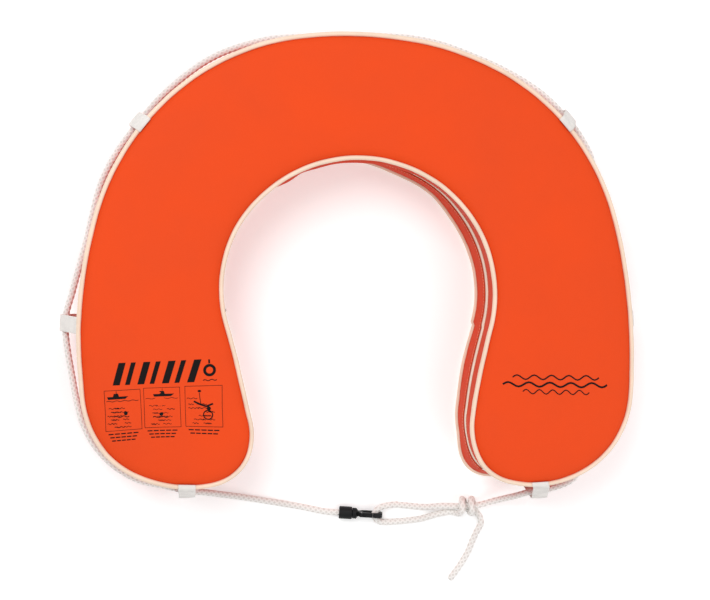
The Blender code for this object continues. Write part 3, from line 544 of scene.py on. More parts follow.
FRONT_CLOTH = cloth_look("cover_cloth", ORANGE)
# Side cloth: the same coated cloth in the darker orange, which paints shade into the side walls.
SHADED_SIDE_CLOTH = cloth_look("gusset_cloth", SHADED_SIDE_ORANGE, uv=True)
PIPING = piping_look()
ROPE = rope_look()
WEBBING = webbing_look()
TAPE = tape_look()
COIL = coil_look()
METAL = metal_look("zip_nickel", NICKEL, 0.22, 0.38)
PIN_METAL = metal_look("pin_steel", (0.52, 0.53, 0.55), 0.2, 0.34)
PLASTIC = plastic_look()
PRINT_INK = ink_look()
SEWING = thread_look()


# ------------------------------------------------------------------ cover panels
FRONT_INSETS = (0.0021, 0.0026, 0.0032, 0.0040, 0.0050, 0.0062, 0.0078, 0.0098, 0.0122, 0.0152,
                0.019, 0.024, 0.030, 0.037, 0.045, 0.052, 0.058)
BACK_INSETS = (0.0022, 0.0030, 0.0042, 0.0060, 0.0090, 0.014, 0.022, 0.034, 0.048, 0.058)
SHIFT_FADE = 0.05


def panel_height(inset):
    """Crowned height of the front panel at an inset from the seam line."""
    d = np.maximum(np.asarray(inset, dtype=float) - 0.0022, 0.0)
    return 0.1056 + 0.0056 * (1.0 - np.exp(-d / 0.0036)) + 0.0032 * (1.0 - np.exp(-d / 0.019))


def front_surface(point_x, point_y, inset, along):
    """Height of the front panel with its soft unevenness and the puckers along the seam."""
    soft = 0.00045 * plane_waves(point_x, point_y, 0.11, 11) * np.clip(inset / 0.03, 0.0, 1.0)
    near = np.exp(-((inset - 0.007) / 0.0065) ** 2)
    pucker = 0.00022 * near * waves(along, 0.017, 21, 7) * (0.6 + 0.4 * waves(along, 0.09, 22))
    return panel_height(inset) + soft + pucker


def fill_centre(mesh, ring_start, count):
    """Close the middle of a panel with triangles over its innermost ring."""
    bm = bmesh.new()
    bm.from_mesh(mesh)
    bm.verts.ensure_lookup_table()
    face = bm.faces.new([bm.verts[ring_start + i] for i in range(count)])
    face.smooth = True
    made = bmesh.ops.triangulate(bm, faces=[face], ngon_method="BEAUTY")
    edges = list({e for f in made["faces"] for e in f.edges if not e.is_boundary
                  and all(l in made["faces"] for l in e.link_faces)})
    bmesh.ops.subdivide_edges(bm, edges=edges, cuts=3, use_grid_fill=True)
    bmesh.ops.recalc_face_normals(bm, faces=bm.faces)
    for f in bm.faces:
        f.smooth = True
    bm.to_mesh(mesh)
    bm.free()


def build_panel(name, insets, surface, shift, upwards, thickness, nodes):
    """Padded panel of cloth over rings at insets from the seam, its edge shifted outwards."""
    along = RIM.length[:-1]
    rows = []
    for inset in insets:
        reach = shift * max(0.0, 1.0 - inset / SHIFT_FADE) - inset
        row = beside(RIM.point, RIM.normal, reach, 0.0)
        row[:, 2] = surface(row[:, 0], row[:, 1], np.full(COUNT, inset), along)
        rows.append(row)
    mesh = grid_mesh(name, settle(np.array(rows)), np.arange(len(insets)) * STATION_STEP,
                     RIM.length, wrap_v=True)
    fill_centre(mesh, (len(insets) - 1) * COUNT, COUNT)
    if (sum(p.normal.z * p.area for p in mesh.polygons) > 0) != upwards:
        mesh.flip_normals()
    panel = add_piece(name, mesh, FRONT_CLOTH, "cover_cloth", *nodes)
    add_solidify(panel, thickness)


def back_surface(inset, along):
    """Height of the flat back panel, which lifts to its seam."""
    lift = 0.0030 * np.exp(-np.maximum(inset - 0.0022, 0.0) / 0.0022)
    return 0.0009 + lift + 0.0001 * waves(along, 0.03, 31)


def build_panels():
    build_panel("front_panel_cloth", FRONT_INSETS, front_surface, np.zeros(COUNT), True, 0.0007,
                ("cover_front_panel", "core_foam_front"))
    build_panel("back_panel_cloth", BACK_INSETS, lambda x, y, inset, along: back_surface(inset, along),
                BACK_SHIFT, False, 0.0006, ("cover_back_panel", "core_foam_back"))


# ------------------------------------------------------------------ gussets
def wrinkles(along, share, seed):
    """Small creases of the side cloth, strongest beside its seams."""
    edge = np.exp(-share / 0.14) + np.exp(-(1.0 - share) / 0.14)
    fine = waves(along + 0.004 * np.sin(share * 9.0), 0.016, seed, 7)
    broad = waves(along + 0.03 * share, 0.06, seed + 1, 5)
    return 0.00022 * edge * fine + 0.00025 * np.sin(math.pi * share) * broad


def gusset_band(name, index, low_z, high_z, inset, slack, rows, seed, nodes):
    """Upright cloth band between two heights, following the side wall."""
    share = np.linspace(0.0, 1.0, rows)
    along = RIM.length[index]
    strips = []
    for s in share:
        height = low_z + (high_z - low_z) * s
        reach = wall_shift(index, height) - inset + slack * math.sin(math.pi * s) ** 0.8
        reach = reach + wrinkles(along, np.full(len(index), s), seed)
        strips.append(beside(RIM.point[index], RIM.normal[index], reach, height))
    u = np.append(along, along[-1] + STATION_STEP)
    v = np.append(share, 1.1) * (high_z - low_z)
    mesh = grid_mesh(name, settle(np.stack(strips, axis=1)), u, v)
    outwards = Vector((*RIM.normal[index[len(index) // 2]], 0.0))
    if mesh.polygons[len(mesh.polygons) // 2].normal.dot(outwards) < 0:
        mesh.flip_normals()
    # The band takes the side cloth, whose darker orange is painted shade.
    band = add_piece(name, mesh, SHADED_SIDE_CLOTH, "gusset_cloth", *nodes)
    add_solidify(band, 0.0007)


def build_gussets():
    outer = np.concatenate((np.arange(RIM.zip_last, COUNT), np.arange(0, RIM.zip_first + 1)))
    inner = np.arange(RIM.zip_first, RIM.zip_last + 1)
    gusset_band("outer_gusset_cloth", outer, GUSSET_LOW, GUSSET_HIGH, 0.0003,
                np.full(len(outer), 0.0003), 15, 41, ("outer_gusset", "core_foam_middle"))
    gusset_band("inner_gusset_front_cloth", inner, ZIP_Z + ZIP_OPEN, GUSSET_HIGH, 0.0004,
                SLACK[inner], 10, 51, ("inner_gusset_front",))
    gusset_band("inner_gusset_back_cloth", inner, GUSSET_LOW, ZIP_Z - ZIP_OPEN, 0.0004,
                0.4 * SLACK[inner], 10, 61, ("inner_gusset_back",))


# ------------------------------------------------------------------ piping
def build_piping(name, height, shift, node, seed):
    sides = 14
    along = RIM.length[:-1]
    radius = PIPING_RADIUS - 0.00005 + 0.00008 * waves(along, 0.03, seed)
    middle = shift + 0.00018 * waves(along, 0.05, seed + 1)
    lift = height + 0.00015 * waves(along, 0.06, seed + 2)
    strips = [beside(RIM.point, RIM.normal, middle + radius * math.cos(a), lift + radius * math.sin(a))
              for a in circle_angles(sides)]
    v = np.arange(sides + 1) * PIPING_RADIUS * 2.0 * math.pi / sides
    mesh = grid_mesh(name, settle(np.stack(strips, axis=1)), RIM.length, v, wrap_u=True, wrap_v=True)
    face_outwards(mesh)
    add_piece(name, mesh, PIPING, "piping", node)


# ------------------------------------------------------------------ zip
ZIP_TOOTH = 0.0016


def zip_index(first_clear, last_clear):
    """Stations of the zip, leaving some metres clear at both ends."""
    inner = np.arange(RIM.zip_first, RIM.zip_last + 1)
    start, end = RIM.length[inner[0]], RIM.length[inner[-1]]
    keep = (RIM.length[inner] >= start + first_clear) & (RIM.length[inner] <= end - last_clear)
    return inner[keep]


def fine_path(index, step):
    """Points, normals and lengths of stations resampled at a finer step."""
    at = RIM.length[index]
    goal = np.linspace(at[0], at[-1], round((at[-1] - at[0]) / step) + 1)
    point = np.column_stack([np.interp(goal, at, RIM.point[index, k]) for k in (0, 1)])
    normal = np.column_stack([np.interp(goal, at, RIM.normal[index, k]) for k in (0, 1)])
    normal /= np.hypot(*normal.T)[:, None]
    return point, normal, goal


def build_zip_tape(side, sign):
    index = zip_index(0.0, 0.0)
    rows = np.array((0.0031, 0.0045, 0.0062, 0.0080, 0.0105, 0.0135, 0.0160))
    strips = []
    for j, z in enumerate(rows):
        reach = wall_shift(index, ZIP_Z + sign * z) - ZIP_INSET - 0.0001 * math.sin(j * 1.9)
        strips.append(beside(RIM.point[index], RIM.normal[index], reach, ZIP_Z + sign * z))
    u = np.append(RIM.length[index], RIM.length[index[-1]] + STATION_STEP)
    mesh = grid_mesh("zip_tape_" + side, settle(np.stack(strips, axis=1)), u, np.append(rows, 0.017))
    if mesh.polygons[0].normal.dot(Vector((*RIM.normal[index[0]], 0.0))) < 0:
        mesh.flip_normals()
    tape = add_piece(f"zip_tape_{side}_woven", mesh, TAPE, "zip_tape", "zip_tape_" + side)
    add_solidify(tape, 0.0005)


def build_zip_coil(side, sign):
    """Half of the zip's coil: a bead whose thickness swells at every tooth."""
    run = zip_index(0.0055, 0.0055)
    point, normal, at = fine_path(run, ZIP_TOOTH / 4.0)
    shift = np.interp(at, RIM.length[run], wall_shift(run, ZIP_Z))
    phase = 0.0 if sign > 0 else 0.5
    swell = 0.5 + 0.5 * np.cos(2.0 * math.pi * (at / ZIP_TOOTH + phase))
    deep = 0.00080 + 0.00022 * swell
    tall = 0.00085 + 0.00028 * swell
    sides = 8
    strips = [beside(point, normal, shift - ZIP_INSET + deep * math.cos(a),
                     ZIP_Z + sign * 0.00195 + tall * math.sin(a)) for a in circle_angles(sides)]
    mesh = grid_mesh("zip_coil_" + side, settle(np.stack(strips, axis=1)),
                     np.append(at, at[-1] + ZIP_TOOTH), np.arange(sides + 1) * 0.0008, wrap_v=True,
                     cap=True)
    face_outwards(mesh)
    add_piece(f"zip_coil_{side}_teeth", mesh, COIL, "zip_coil", "zip_coil_" + side)


def build_zip():
    for build in (build_zip_tape, build_zip_coil):
        build("front", 1.0)
        build("back", -1.0)


def build_bottom_stop():
    """End stop at the right tip, moved with the settled wall."""
    node = NODES["zip_bottom_stop"]
    mesh = node.data.copy()
    mesh.transform(node.matrix_world)
    place = np.mean([tuple(v.co) for v in mesh.vertices], axis=0)
    i = int(np.argmin(np.hypot(*(RIM.point - place[:2]).T)))
    moved = settle(place[:2] + RIM.normal[i] * wall_shift(i, ZIP_Z))
    mesh.transform(Matrix.Translation((*(moved - place[:2]), 0.0)))
    mesh.materials.clear()
    stop = add_piece("zip_bottom_stop_metal", mesh, METAL, "zip_metal", "zip_bottom_stop")
    add_bevel(stop, 0.0003)


STITCH_RADIUS = 0.00028
STITCH_RINGS = ((0.0, 0.45, -0.4), (0.2, 1.0, 0.55), (0.8, 1.0, 0.55), (1.0, 0.45, -0.4))


def build_stitches(name, stitches):
    """Small rounded stitches, each from (start, end, outward)."""
    sides = 6
    points, faces = [], []
    for start, end, out in stitches:
        start, end, out = Vector(start), Vector(end), Vector(out)
        side = (end - start).normalized().cross(out).normalized()
        base = len(points)
        for share, size, lift in STITCH_RINGS:
            centre = start.lerp(end, share) + out * (lift * STITCH_RADIUS)
            for a in circle_angles(sides):
                ray = out * math.cos(a) + side * math.sin(a)
                points.append(centre + ray * STITCH_RADIUS * size)
        for ring in range(3):
            for k in range(sides):
                a = base + ring * sides + k
                b = base + ring * sides + (k + 1) % sides
                faces.append((a, b, b + sides, a + sides))
        faces.append(tuple(base + k for k in range(sides))[::-1])
        faces.append(tuple(base + 3 * sides + k for k in range(sides)))
    mesh = bpy.data.meshes.new(name)
    mesh.from_pydata([tuple(p) for p in points], [], faces)
    mesh.polygons.foreach_set("use_smooth", [True] * len(mesh.polygons))
    face_outwards(mesh)
    add_piece(name, mesh, SEWING, "gusset_cloth")


def build_zip_stitches():
    """One row of stitches along each cloth edge beside the zip."""
    index = zip_index(0.002, 0.002)
    point, normal, at = fine_path(index, 0.00095)
    slack = np.interp(at, RIM.length[index], SLACK[index])
    for name, height, share in (("stitches_zip_front", ZIP_Z + ZIP_OPEN + 0.0022, 1.0),
                                ("stitches_zip_back", ZIP_Z - ZIP_OPEN - 0.0022, 0.4)):
        stitches = []
        bulge = -0.0002 + share * slack * math.sin(math.pi * 0.0022 / 0.0402) ** 0.8
        bulge += np.interp(at, RIM.length[index], wall_shift(index, height))
        for i in range(0, len(at) - 4, 4):
            ends = []
            for k in (i, i + 3):
                flat = settle(point[k] + normal[k] * bulge[k])
                ends.append((flat[0], flat[1], height))
            stitches.append((*ends, (normal[i][0], normal[i][1], 0.0)))
        build_stitches(name, stitches)


# ------------------------------------------------------------------ webbing loops
WEBBING_WIDTH = 0.020
WEBBING_HALF = 0.0007
LOOPS = {
    "webbing_loop_crown_left": (-50.5, 0.0170, 0.060, 0.0, True),
    "webbing_loop_crown_right": (49.4, 0.0198, 0.070, 0.0, True),
    "webbing_loop_side_left": (-86.7, 0.0257, 0.050, 0.0, False),
    "webbing_loop_side_right": (86.7, 0.0257, 0.030, 0.0, False),
    "webbing_loop_tip_left": (-181.8, 0.0212, 0.037, 0.0, True),
    "webbing_loop_tip_right": (175.9, 0.0280, 0.049, -0.011, True),
}


def webbing_path(reach, height, over_piping):
    """Middle line of a loop as (reach, height), from the front seam to the back seam."""
    bend, wrap = 0.005, 0.0040
    if over_piping:
        path = [(wrap * math.cos(math.radians(a)), FRONT_PIPING_Z + wrap * math.sin(math.radians(a)))
                for a in (140, 125, 110, 95, 80, 65, 50, 35, 22)]
    else:
        path = [(0.0009, 0.1030), (0.0011, 0.100), (0.0016, 0.097)]
    foot = [(0.0016, 0.0128), (0.0010, 0.0095), (0.0009, 0.0068)]
    centre = (reach - bend, height)
    angles = []
    for target, side in ((path[-1], 1.0), (foot[0], -1.0)):
        dx, dz = target[0] - centre[0], target[1] - centre[1]
        angles.append(math.atan2(dz, dx) - side * math.acos(bend / math.hypot(dx, dz)))
    for i in range(11):
        a = angles[0] + (angles[1] - angles[0]) * i / 10.0
        path.append((centre[0] + bend * math.cos(a), centre[1] + bend * math.sin(a)))
    return path + foot


def resample(points, step):
    points = np.array(points, dtype=float)
    lengths = np.concatenate(((0.0,), np.cumsum(np.linalg.norm(np.diff(points, axis=0), axis=1))))
    goal = np.linspace(0.0, lengths[-1], max(2, round(lengths[-1] / step)) + 1)
    return np.column_stack([np.interp(goal, lengths, points[:, k]) for k in range(points.shape[1])])


def smooth_line(points, rounds):
    for _ in range(rounds):
        points[1:-1] = 0.25 * points[:-2] + 0.5 * points[1:-1] + 0.25 * points[2:]
    return points


def build_loop(name, turn, reach, height, lean, over_piping):
    path = smooth_line(resample(webbing_path(reach, height, over_piping), 0.0012), 2)
    tangent = np.gradient(path, axis=0)
    tangent /= np.hypot(*tangent.T)[:, None]
    out = np.column_stack((-tangent[:, 1], tangent[:, 0]))
    if out[len(out) // 2][0] < 0:
        out = -out
    across = np.array((-1.0, -0.97, -0.86, -0.6, -0.3, 0.0, 0.3, 0.6, 0.86, 0.97, 1.0))
    thick = np.array((0.35, 0.8, 1.1, 0.95, 0.92, 0.92, 0.92, 0.95, 1.1, 0.8, 0.35)) * WEBBING_HALF
    section = [(a, t) for a, t in zip(across, thick)] + [(a, -t) for a, t in zip(across, thick)][::-1]
    points = np.zeros((len(path), len(section), 3))
    for i, (n, z) in enumerate(path):
        shift = lean * max(n, 0.0) / reach
        cup = 0.0006 * math.sin(math.pi * i / (len(path) - 1))
        for j, (a, t) in enumerate(section):
            off = t - cup * a * a
            points[i, j] = at_rim(turn, n + out[i][0] * off, z + out[i][1] * off,
                                  shift + a * WEBBING_WIDTH / 2.0)
    seam_share = np.clip(1.0 - path[:, 0] / reach, 0.0, 1.0)[:, None]
    points = settle(settle(points, LEG_SPREAD), COVER_SETTLING, seam_share)
    u = np.arange(len(path) + 1) * 0.0012
    v = np.concatenate((across, across[::-1] + 2.2, (3.2,))) * WEBBING_WIDTH / 2.0
    mesh = grid_mesh(name, points, u, v, wrap_v=True, cap=True)
    face_outwards(mesh)
    add_piece(name + "_woven", mesh, WEBBING, "webbing", name)


# ------------------------------------------------------------------ rope
HOOK_ORIGIN = (-0.0155, -0.3029, 0.00805)
HOOK_YAW = -3.8
HOOK_PITCH = 4.9
SLEEVE_RUN = (0.0070, -0.0060, -0.0180)
LEFT_RUN = [(-0.0640, -0.2952, 0.0050), (-0.1017, -0.2882, 0.0049), (-0.1367, -0.2813, 0.009),
            (-0.1615, -0.2760, 0.019), (-0.1788, -0.2717, 0.029)]
RIM_RUN = [(-181.3, 0.0118, 0.041), (-170.0, 0.0066, 0.046), (-162.0, 0.0060, 0.054),
           (-155.0, 0.0062, 0.062), (-148.0, 0.0056, 0.069), (-138.0, 0.0052, 0.076),
           (-124.0, 0.0050, 0.082), (-110.0, 0.0050, 0.083), (-100.0, 0.0056, 0.077),
           (-93.5, 0.0092, 0.064), (-87.1, 0.0196, 0.050), (-83.1, 0.0144, 0.042),
           (-77.5, 0.0085, 0.034), (-67.5, 0.0114, 0.036), (-58.2, 0.0110, 0.046),
           (-50.5, 0.0088, 0.059), (-41.6, 0.0114, 0.058), (-30.2, 0.0140, 0.054),
           (-20.4, 0.0128, 0.048), (-9.0, 0.0076, 0.046), (8.0, 0.0068, 0.052),
           (25.0, 0.0064, 0.062), (39.0, 0.0112, 0.070), (49.4, 0.0126, 0.073),
           (57.8, 0.0126, 0.068), (64.5, 0.0080, 0.059), (75.0, 0.0060, 0.050),
           (86.7, 0.0057, 0.045), (103.0, 0.0049, 0.044), (120.0, 0.0049, 0.043),
           (135.0, 0.0052, 0.043), (145.0, 0.0120, 0.044), (154.0, 0.0192, 0.047),
           (163.0, 0.0192, 0.050), (170.5, 0.0185, 0.052)]
RIGHT_RUN = [(0.2181, -0.2738, 0.0488), (0.2042, -0.2808, 0.036), (0.1897, -0.2878, 0.019),
             (0.1755, -0.2923, 0.0140), (0.1604, -0.2964, 0.0132), (0.1450, -0.2972, 0.0132),
             (0.1300, -0.2974, 0.0130)]
BIGHT_OUT = [(0.1150, -0.2972, 0.0104), (0.0939, -0.2991, 0.0054), (0.0723, -0.2970, 0.0046),
             (0.0560, -0.2950, 0.0056)]
BIGHT_EYE = [(0.0570, 0.0108, -0.0036), (0.0500, 0.0083, -0.0012), (0.0459, 0.0045, 0.0),
             (0.0446, 0.0, 0.0002), (0.0459, -0.0045, 0.0), (0.0500, -0.0083, -0.0012),
             (0.0575, -0.0096, -0.0042)]
BIGHT_BACK = [(0.0621, -0.3165, 0.0048), (0.0876, -0.3140, 0.0046), (0.1050, -0.3092, 0.0056)]
KNOT_CENTRE = (0.1450, -0.2972, 0.0132)
KNOT_COIL_RADIUS = 0.0090
KNOT_FLARE = 0.0012
KNOT_START = -0.0210
KNOT_RUN_IN = 0.0140
KNOT_PITCH = 0.0095
KNOT_TILT = -0.0030
KNOT_START_ANGLE = 218.0
KNOT_TURN = -668.0
KNOT_POINTS = 30
TAIL_RUN = [(0.1588, -0.3058, 0.0043), (0.1645, -0.3130, 0.0043), (0.1655, -0.3215, 0.0043),
            (0.1605, -0.3310, 0.0043), (0.1545, -0.3436, 0.0043), (0.1480, -0.3590, 0.0043),
            (0.1385, -0.3745, 0.0043), (0.1252, -0.3925, 0.0043)]


def hook_frame():
    yaw = Matrix.Rotation(math.radians(HOOK_YAW), 4, "Z")
    pitch = Matrix.Rotation(math.radians(-HOOK_PITCH), 4, "Y")
    return Matrix.Translation(HOOK_ORIGIN) @ yaw @ pitch


def knot_point(share):
    """Point of the tail's two slanting turns round the standing rope, ending under it."""
    turned = share * share * (2.0 - share)
    a = math.radians(KNOT_START_ANGLE + KNOT_TURN * turned)
    settled = min(1.0, 3.0 * share) * min(1.0, 5.0 * (1.0 - share))
    x = (KNOT_START + KNOT_RUN_IN * (1.0 - (1.0 - share) ** 4)
         + KNOT_PITCH * abs(KNOT_TURN) / 360.0 * turned + KNOT_TILT * math.cos(a) * settled)
    radius = KNOT_COIL_RADIUS + KNOT_FLARE * max(0.0, 1.0 - 4.0 * share) ** 2
    return np.array(KNOT_CENTRE) + np.array((x, radius * math.cos(a), radius * math.sin(a)))


def smooth_curve(route, samples=24):
    points = [Vector(p) for p in route]
    points = [2.0 * points[0] - points[1]] + points + [2.0 * points[-1] - points[-2]]
    dense = []
    for i in range(1, len(points) - 2):
        a, b, c, d = points[i - 1:i + 3]
        for k in range(samples):
            t = k / samples
            dense.append(0.5 * (2.0 * b + (c - a) * t + (2.0 * a - 5.0 * b + 4.0 * c - d) * t * t
                                + (3.0 * b - 3.0 * c + d - a) * t * t * t))
    dense.append(points[-2])
    return dense


def rope_path(step):
    frame_matrix = hook_frame()
    start = [frame_matrix @ Vector((x, 0.0, 0.0)) for x in SLEEVE_RUN]
    around = [Vector(at_rim(*point)) for point in RIM_RUN]
    eye = [frame_matrix @ Vector(point) for point in BIGHT_EYE]
    coil = [Vector(knot_point(i / KNOT_POINTS)) for i in range(KNOT_POINTS + 1)]
    route = start + LEFT_RUN + around + RIGHT_RUN + BIGHT_OUT + eye + BIGHT_BACK + coil + TAIL_RUN
    path = smooth_line(resample([tuple(p) for p in smooth_curve(route)], step), 6)
    return settle(path, LEG_SPREAD)


def carried_frames(path):
    """Side and up vectors carried along a path without twist."""
    tangent = np.gradient(path, axis=0)
    tangent /= np.linalg.norm(tangent, axis=1)[:, None]
    side = np.zeros_like(path)
    first = np.cross(tangent[0], (0.0, 0.0, 1.0))
    side[0] = first / np.linalg.norm(first)
    for i in range(1, len(path)):
        s = side[i - 1] - tangent[i] * np.dot(side[i - 1], tangent[i])
        side[i] = s / np.linalg.norm(s)
    return tangent, side, np.cross(tangent, side)


def build_rope():
    """One braided rope: sixteen plaits, eight each way, with its cut end melted."""
    path = rope_path(0.0011)
    _, side, up = carried_frames(path)
    lengths = np.concatenate(((0.0,), np.cumsum(np.linalg.norm(np.diff(path, axis=0), axis=1))))
    total = lengths[-1]
    sides = 24
    turn = 2.0 * math.pi * lengths / PLAIT_LENGTH
    points = np.zeros((len(path), sides, 3))
    taper = np.clip((total - lengths) / 0.0016, 0.0, 1.0)
    close = np.sqrt(1.0 - (1.0 - taper) ** 2 * 0.65)
    for j, a in enumerate(circle_angles(sides)):
        right = np.cos(ROPE_PLAITS * (a + turn))
        left = np.cos(ROPE_PLAITS * (a - turn))
        crown = np.clip(np.maximum(right, left), -0.2, 1.0)
        radius = (ROPE_RADIUS - 0.00035 + 0.0005 * crown) * close
        points[:, j] = path + side * (radius * math.cos(a))[:, None] \
            + up * (radius * math.sin(a))[:, None]
    v = np.arange(sides + 1) * 2.0 * math.pi * ROPE_RADIUS / sides
    u = np.append(lengths, total + 0.001)
    mesh = grid_mesh("grab_rope", points, u, v, wrap_v=True, cap=True)
    face_outwards(mesh)
    rope = add_piece("grab_rope", mesh, ROPE, "rope", "rope_main", "rope_bight", "rope_knot",
                     "rope_tail", "rope_stopper")


# ------------------------------------------------------------------ CAD pieces that stay
def dress_node(name, material, bevel):
    node = NODES[name]
    node.data.materials.clear()
    node.data.materials.append(material)
    add_bevel(node, bevel)
    node.data.polygons.foreach_set("use_smooth", [True] * len(node.data.polygons))
    split = node.modifiers.new("smooth by angle", "EDGE_SPLIT")
    split.split_angle = math.radians(40.0)


# ------------------------------------------------------------------ printed marks
def nearest_inset(x, y):
    """Distance of points inside the outline from the seam line."""
    flat = np.column_stack((x, y))
    gaps = np.linalg.norm(flat[:, None, :] - RIM.point[None, :, :], axis=2)
    return gaps.min(axis=1), RIM.length[:-1][gaps.argmin(axis=1)]


class Print:
    """Flat ink shapes laid on the front panel."""

    def __init__(self, origin, slope):
        self.origin = origin
        self.slope = math.radians(slope)
        self.points = []
        self.faces = []

    def place(self, x, y):
        c, s = math.cos(self.slope), math.sin(self.slope)
        return self.origin[0] + x * c - y * s, self.origin[1] + x * s + y * c

    def strip(self, line, width):
        """A line of ink of even width."""
        line = np.array(line, dtype=float)
        along = np.gradient(line, axis=0)
        along /= np.maximum(np.hypot(*along.T), 1e-9)[:, None]
        side = np.column_stack((-along[:, 1], along[:, 0])) * width / 2.0
        base = len(self.points)
        for p, s in zip(line, side):
            self.points += [self.place(*(p + s)), self.place(*(p - s))]
        for i in range(len(line) - 1):
            k = base + 2 * i
            self.faces.append((k, k + 1, k + 3, k + 2))

    def shape(self, outline):
        base = len(self.points)
        self.points += [self.place(*p) for p in outline]
        self.faces.append(tuple(range(base, base + len(outline))))

    def box(self, x, y, wide, tall, width):
        corners = ((x, y), (x + wide, y), (x + wide, y + tall), (x, y + tall), (x, y))
        for a, b in zip(corners, corners[1:]):
            self.strip([a, ((a[0] + b[0]) / 2, (a[1] + b[1]) / 2), b], width)

    def wave(self, x, y, length, size, bends, width):
        t = np.linspace(0.0, 1.0, 8 * bends + 1)
        self.strip(np.column_stack((x + length * t, y + size * np.sin(2 * math.pi * bends * t))),
                   width)

    def ring(self, x, y, outer, inner):
        t = np.linspace(0.0, 2.0 * math.pi, 33)
        middle = (outer + inner) / 2.0
        self.strip(np.column_stack((x + middle * np.cos(t), y + middle * np.sin(t))),
                   outer - inner)

    def dot(self, x, y, radius, squash=1.0):
        t = circle_angles(20)
        self.shape(list(zip(x + radius * np.cos(t), y + squash * radius * np.sin(t))))

    def build(self, name):
        x, y = np.array(self.points).T
        inset, along = nearest_inset(x, y)
        z = front_surface(x, y, inset, along) + 0.00022
        x, y = settle(np.column_stack((x, y))).T
        mesh = bpy.data.meshes.new(name)
        mesh.from_pydata(np.column_stack((x, y, z)).tolist(), [], self.faces)
        bm = bmesh.new()
        bm.from_mesh(mesh)
        for face in bm.faces:
            if face.normal.z < 0:
                face.normal_flip()
        bm.to_mesh(mesh)
        bm.free()
        add_solidify(add_piece(name, mesh, PRINT_INK, "cover_cloth"), 0.00025)


def build_prints():
    """Generic printed marks: leaning bars, a ring, three framed water scenes, wave lines."""
    bars = Print((-0.2915, -0.1310), 2.0)
    lean = 0.009
    for i in range(7):
        x = 0.0146 * i
        wide = 0.0082 if i % 2 == 0 else 0.0056
        tall = 0.0262
        bars.shape([(x, 0.0), (x + wide, 0.0), (x + wide + lean, tall), (x + lean, tall)])
    bars.build("print_leaning_bars")

    badge = Print((-0.1785, -0.1140), 3.0)
    badge.ring(0.0, 0.0, 0.0072, 0.0040)
    badge.wave(-0.0078, -0.0115, 0.0156, 0.0007, 2, 0.0009)
    badge.shape([(-0.001, 0.0080), (0.001, 0.0080), (0.001, 0.0125), (-0.001, 0.0125)])
    badge.build("print_ring_badge")

    for k, (x, y, slope) in enumerate(((-0.2995, -0.1855, 2.6), (-0.2537, -0.1825, 1.6),
                                       (-0.2057, -0.1805, 0.9))):
        scene = Print((x, y), slope)
        wide, tall = 0.0425, 0.0480
        scene.box(0.0, 0.0, wide, tall, 0.0005)
        rng = np.random.default_rng(70 + k)
        for row in range(6):
            for _ in range(3):
                start = rng.uniform(0.002, 0.028)
                scene.wave(start, 0.004 + 0.0045 * row, rng.uniform(0.006, 0.012), 0.0006, 2, 0.0006)
        if k < 2:
            hull = 0.004 + 0.008 * k
            scene.shape([(hull, 0.0375), (hull + 0.020, 0.0375), (hull + 0.024, 0.0405),
                         (hull - 0.001, 0.0405)])
            scene.shape([(hull + 0.006, 0.0405), (hull + 0.013, 0.0405), (hull + 0.012, 0.0440),
                         (hull + 0.007, 0.0440)])
            scene.strip([(hull + 0.010, 0.044), (hull + 0.010, 0.0455), (hull + 0.010, 0.047)],
                        0.0006)
            scene.wave(0.002, 0.0352, 0.038, 0.0005, 4, 0.0006)
            scene.dot(0.024 - 0.004 * k, 0.0200 - 0.004 * k, 0.0022)
            scene.wave(0.010, 0.0165 - 0.004 * k, 0.018, 0.0008, 2, 0.0009)
        else:
            scene.ring(0.026, 0.014, 0.0058, 0.0046)
            scene.dot(0.027, 0.0215, 0.0024)
            scene.strip([(0.010, 0.030), (0.018, 0.026), (0.024, 0.024), (0.032, 0.027)], 0.0020)
            scene.strip([(0.018, 0.027), (0.017, 0.034), (0.0165, 0.040)], 0.0007)
            scene.dot(0.0165, 0.0420, 0.0020, 0.7)
            scene.wave(0.002, 0.0335, 0.012, 0.0006, 2, 0.0006)
        for row in range(3 if k < 2 else 2):
            inset = 0.003 + 0.002 * row
            y_line = -0.0040 - 0.0040 * row
            dashes = 5
            step = (wide - 2 * inset) / dashes
            for d in range(dashes):
                x0 = inset + step * d
                scene.strip([(x0, y_line), (x0 + step * 0.4, y_line), (x0 + step * 0.8, y_line)],
                            0.0013)
        scene.build("print_water_scene_" + "abc"[k])

    swell = Print((0.1700, -0.1330), 0.0)
    for row, (start, length, width) in enumerate(((0.012, 0.104, 0.0016), (0.0, 0.126, 0.0022),
                                                  (0.024, 0.080, 0.0012))):
        swell.wave(start, 0.0085 - 0.0085 * row, length, 0.0026, 5, width)
    swell.build("print_wave_lines")


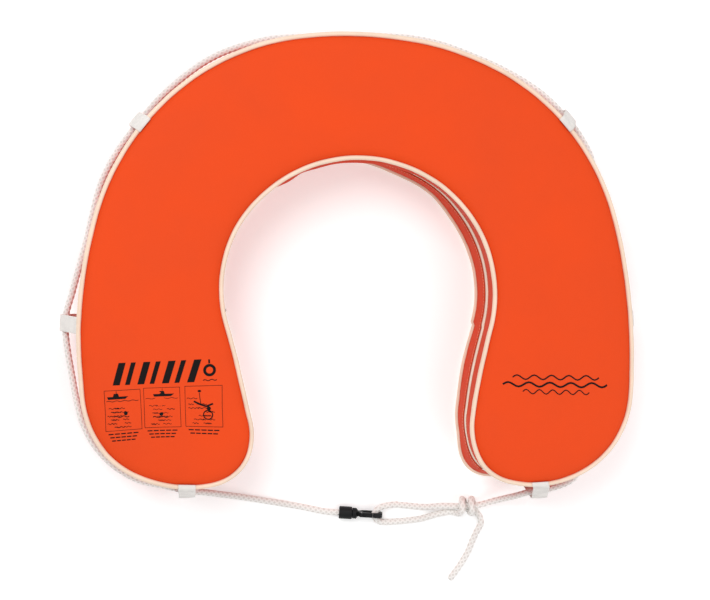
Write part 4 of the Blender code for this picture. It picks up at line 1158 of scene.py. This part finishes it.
# ------------------------------------------------------------------ floor and light
def build_stage():
    look = Look("studio_floor", 0.85, Specular_IOR_Level=0.1)
    tone = look.colour((0.93, 0.93, 0.93), (0.95, 0.95, 0.95), look.spread(look.noise(3.0), 0.0, 1.0))
    look.shader.inputs["Emission Color"].default_value = (1.0, 1.0, 1.0, 1.0)
    look.shader.inputs["Emission Strength"].default_value = 0.22
    material = look.finish(tone)
    mesh = bpy.data.meshes.new("studio_floor")
    half = 6.0
    mesh.from_pydata([(-half, -half, 0.0), (half, -half, 0.0), (half, half, 0.0), (-half, half, 0.0)],
                     [], [(0, 1, 2, 3)])
    mesh.materials.append(material)
    floor = new_object("studio_floor", mesh, None)

    world = bpy.data.worlds.new("studio")
    bpy.context.scene.world = world
    world.use_nodes = True
    sky = world.node_tree.nodes["Background"]
    sky.inputs["Color"].default_value = (1.0, 1.0, 1.0, 1.0)
    sky.inputs["Strength"].default_value = 0.62
    for name, place, size, energy in (("key", (-0.9, 1.1, 2.4), 1.6, 34.0),
                                      ("fill", (1.3, -0.9, 2.2), 1.8, 16.0)):
        light = bpy.data.lights.new(name, "AREA")
        light.shape = "DISK"
        light.size = size
        light.energy = energy
        lamp = bpy.data.objects.new(name, light)
        bpy.context.scene.collection.objects.link(lamp)
        lamp.location = place
        aim = Vector((0.0, 0.0, 0.05)) - Vector(place)
        lamp.rotation_euler = aim.to_track_quat("-Z", "Y").to_euler()
    bpy.context.scene.view_settings.view_transform = "Standard"


# ------------------------------------------------------------------ assembly
build_rope()
build_panels()
build_gussets()
build_piping("front_piping_vinyl", FRONT_PIPING_Z, np.zeros(COUNT), "front_piping", 81)
build_piping("back_piping_vinyl", BACK_PIPING_Z, BACK_SHIFT, "back_piping", 85)
build_zip()
build_bottom_stop()
build_zip_stitches()
for loop_name, facts in LOOPS.items():
    build_loop(loop_name, *facts)
for stop in ("zip_top_stop_back", "zip_top_stop_front"):
    dress_node(stop, METAL, 0.0003)
for piece in ("zip_slider", "zip_pull_tab"):
    dress_node(piece, METAL, 0.0002)
for piece in ("hook_sleeve", "hook_body", "hook_gate"):
    dress_node(piece, PLASTIC, 0.0005)
dress_node("hook_gate_pin", PIN_METAL, 0.00015)
build_prints()
build_stage()
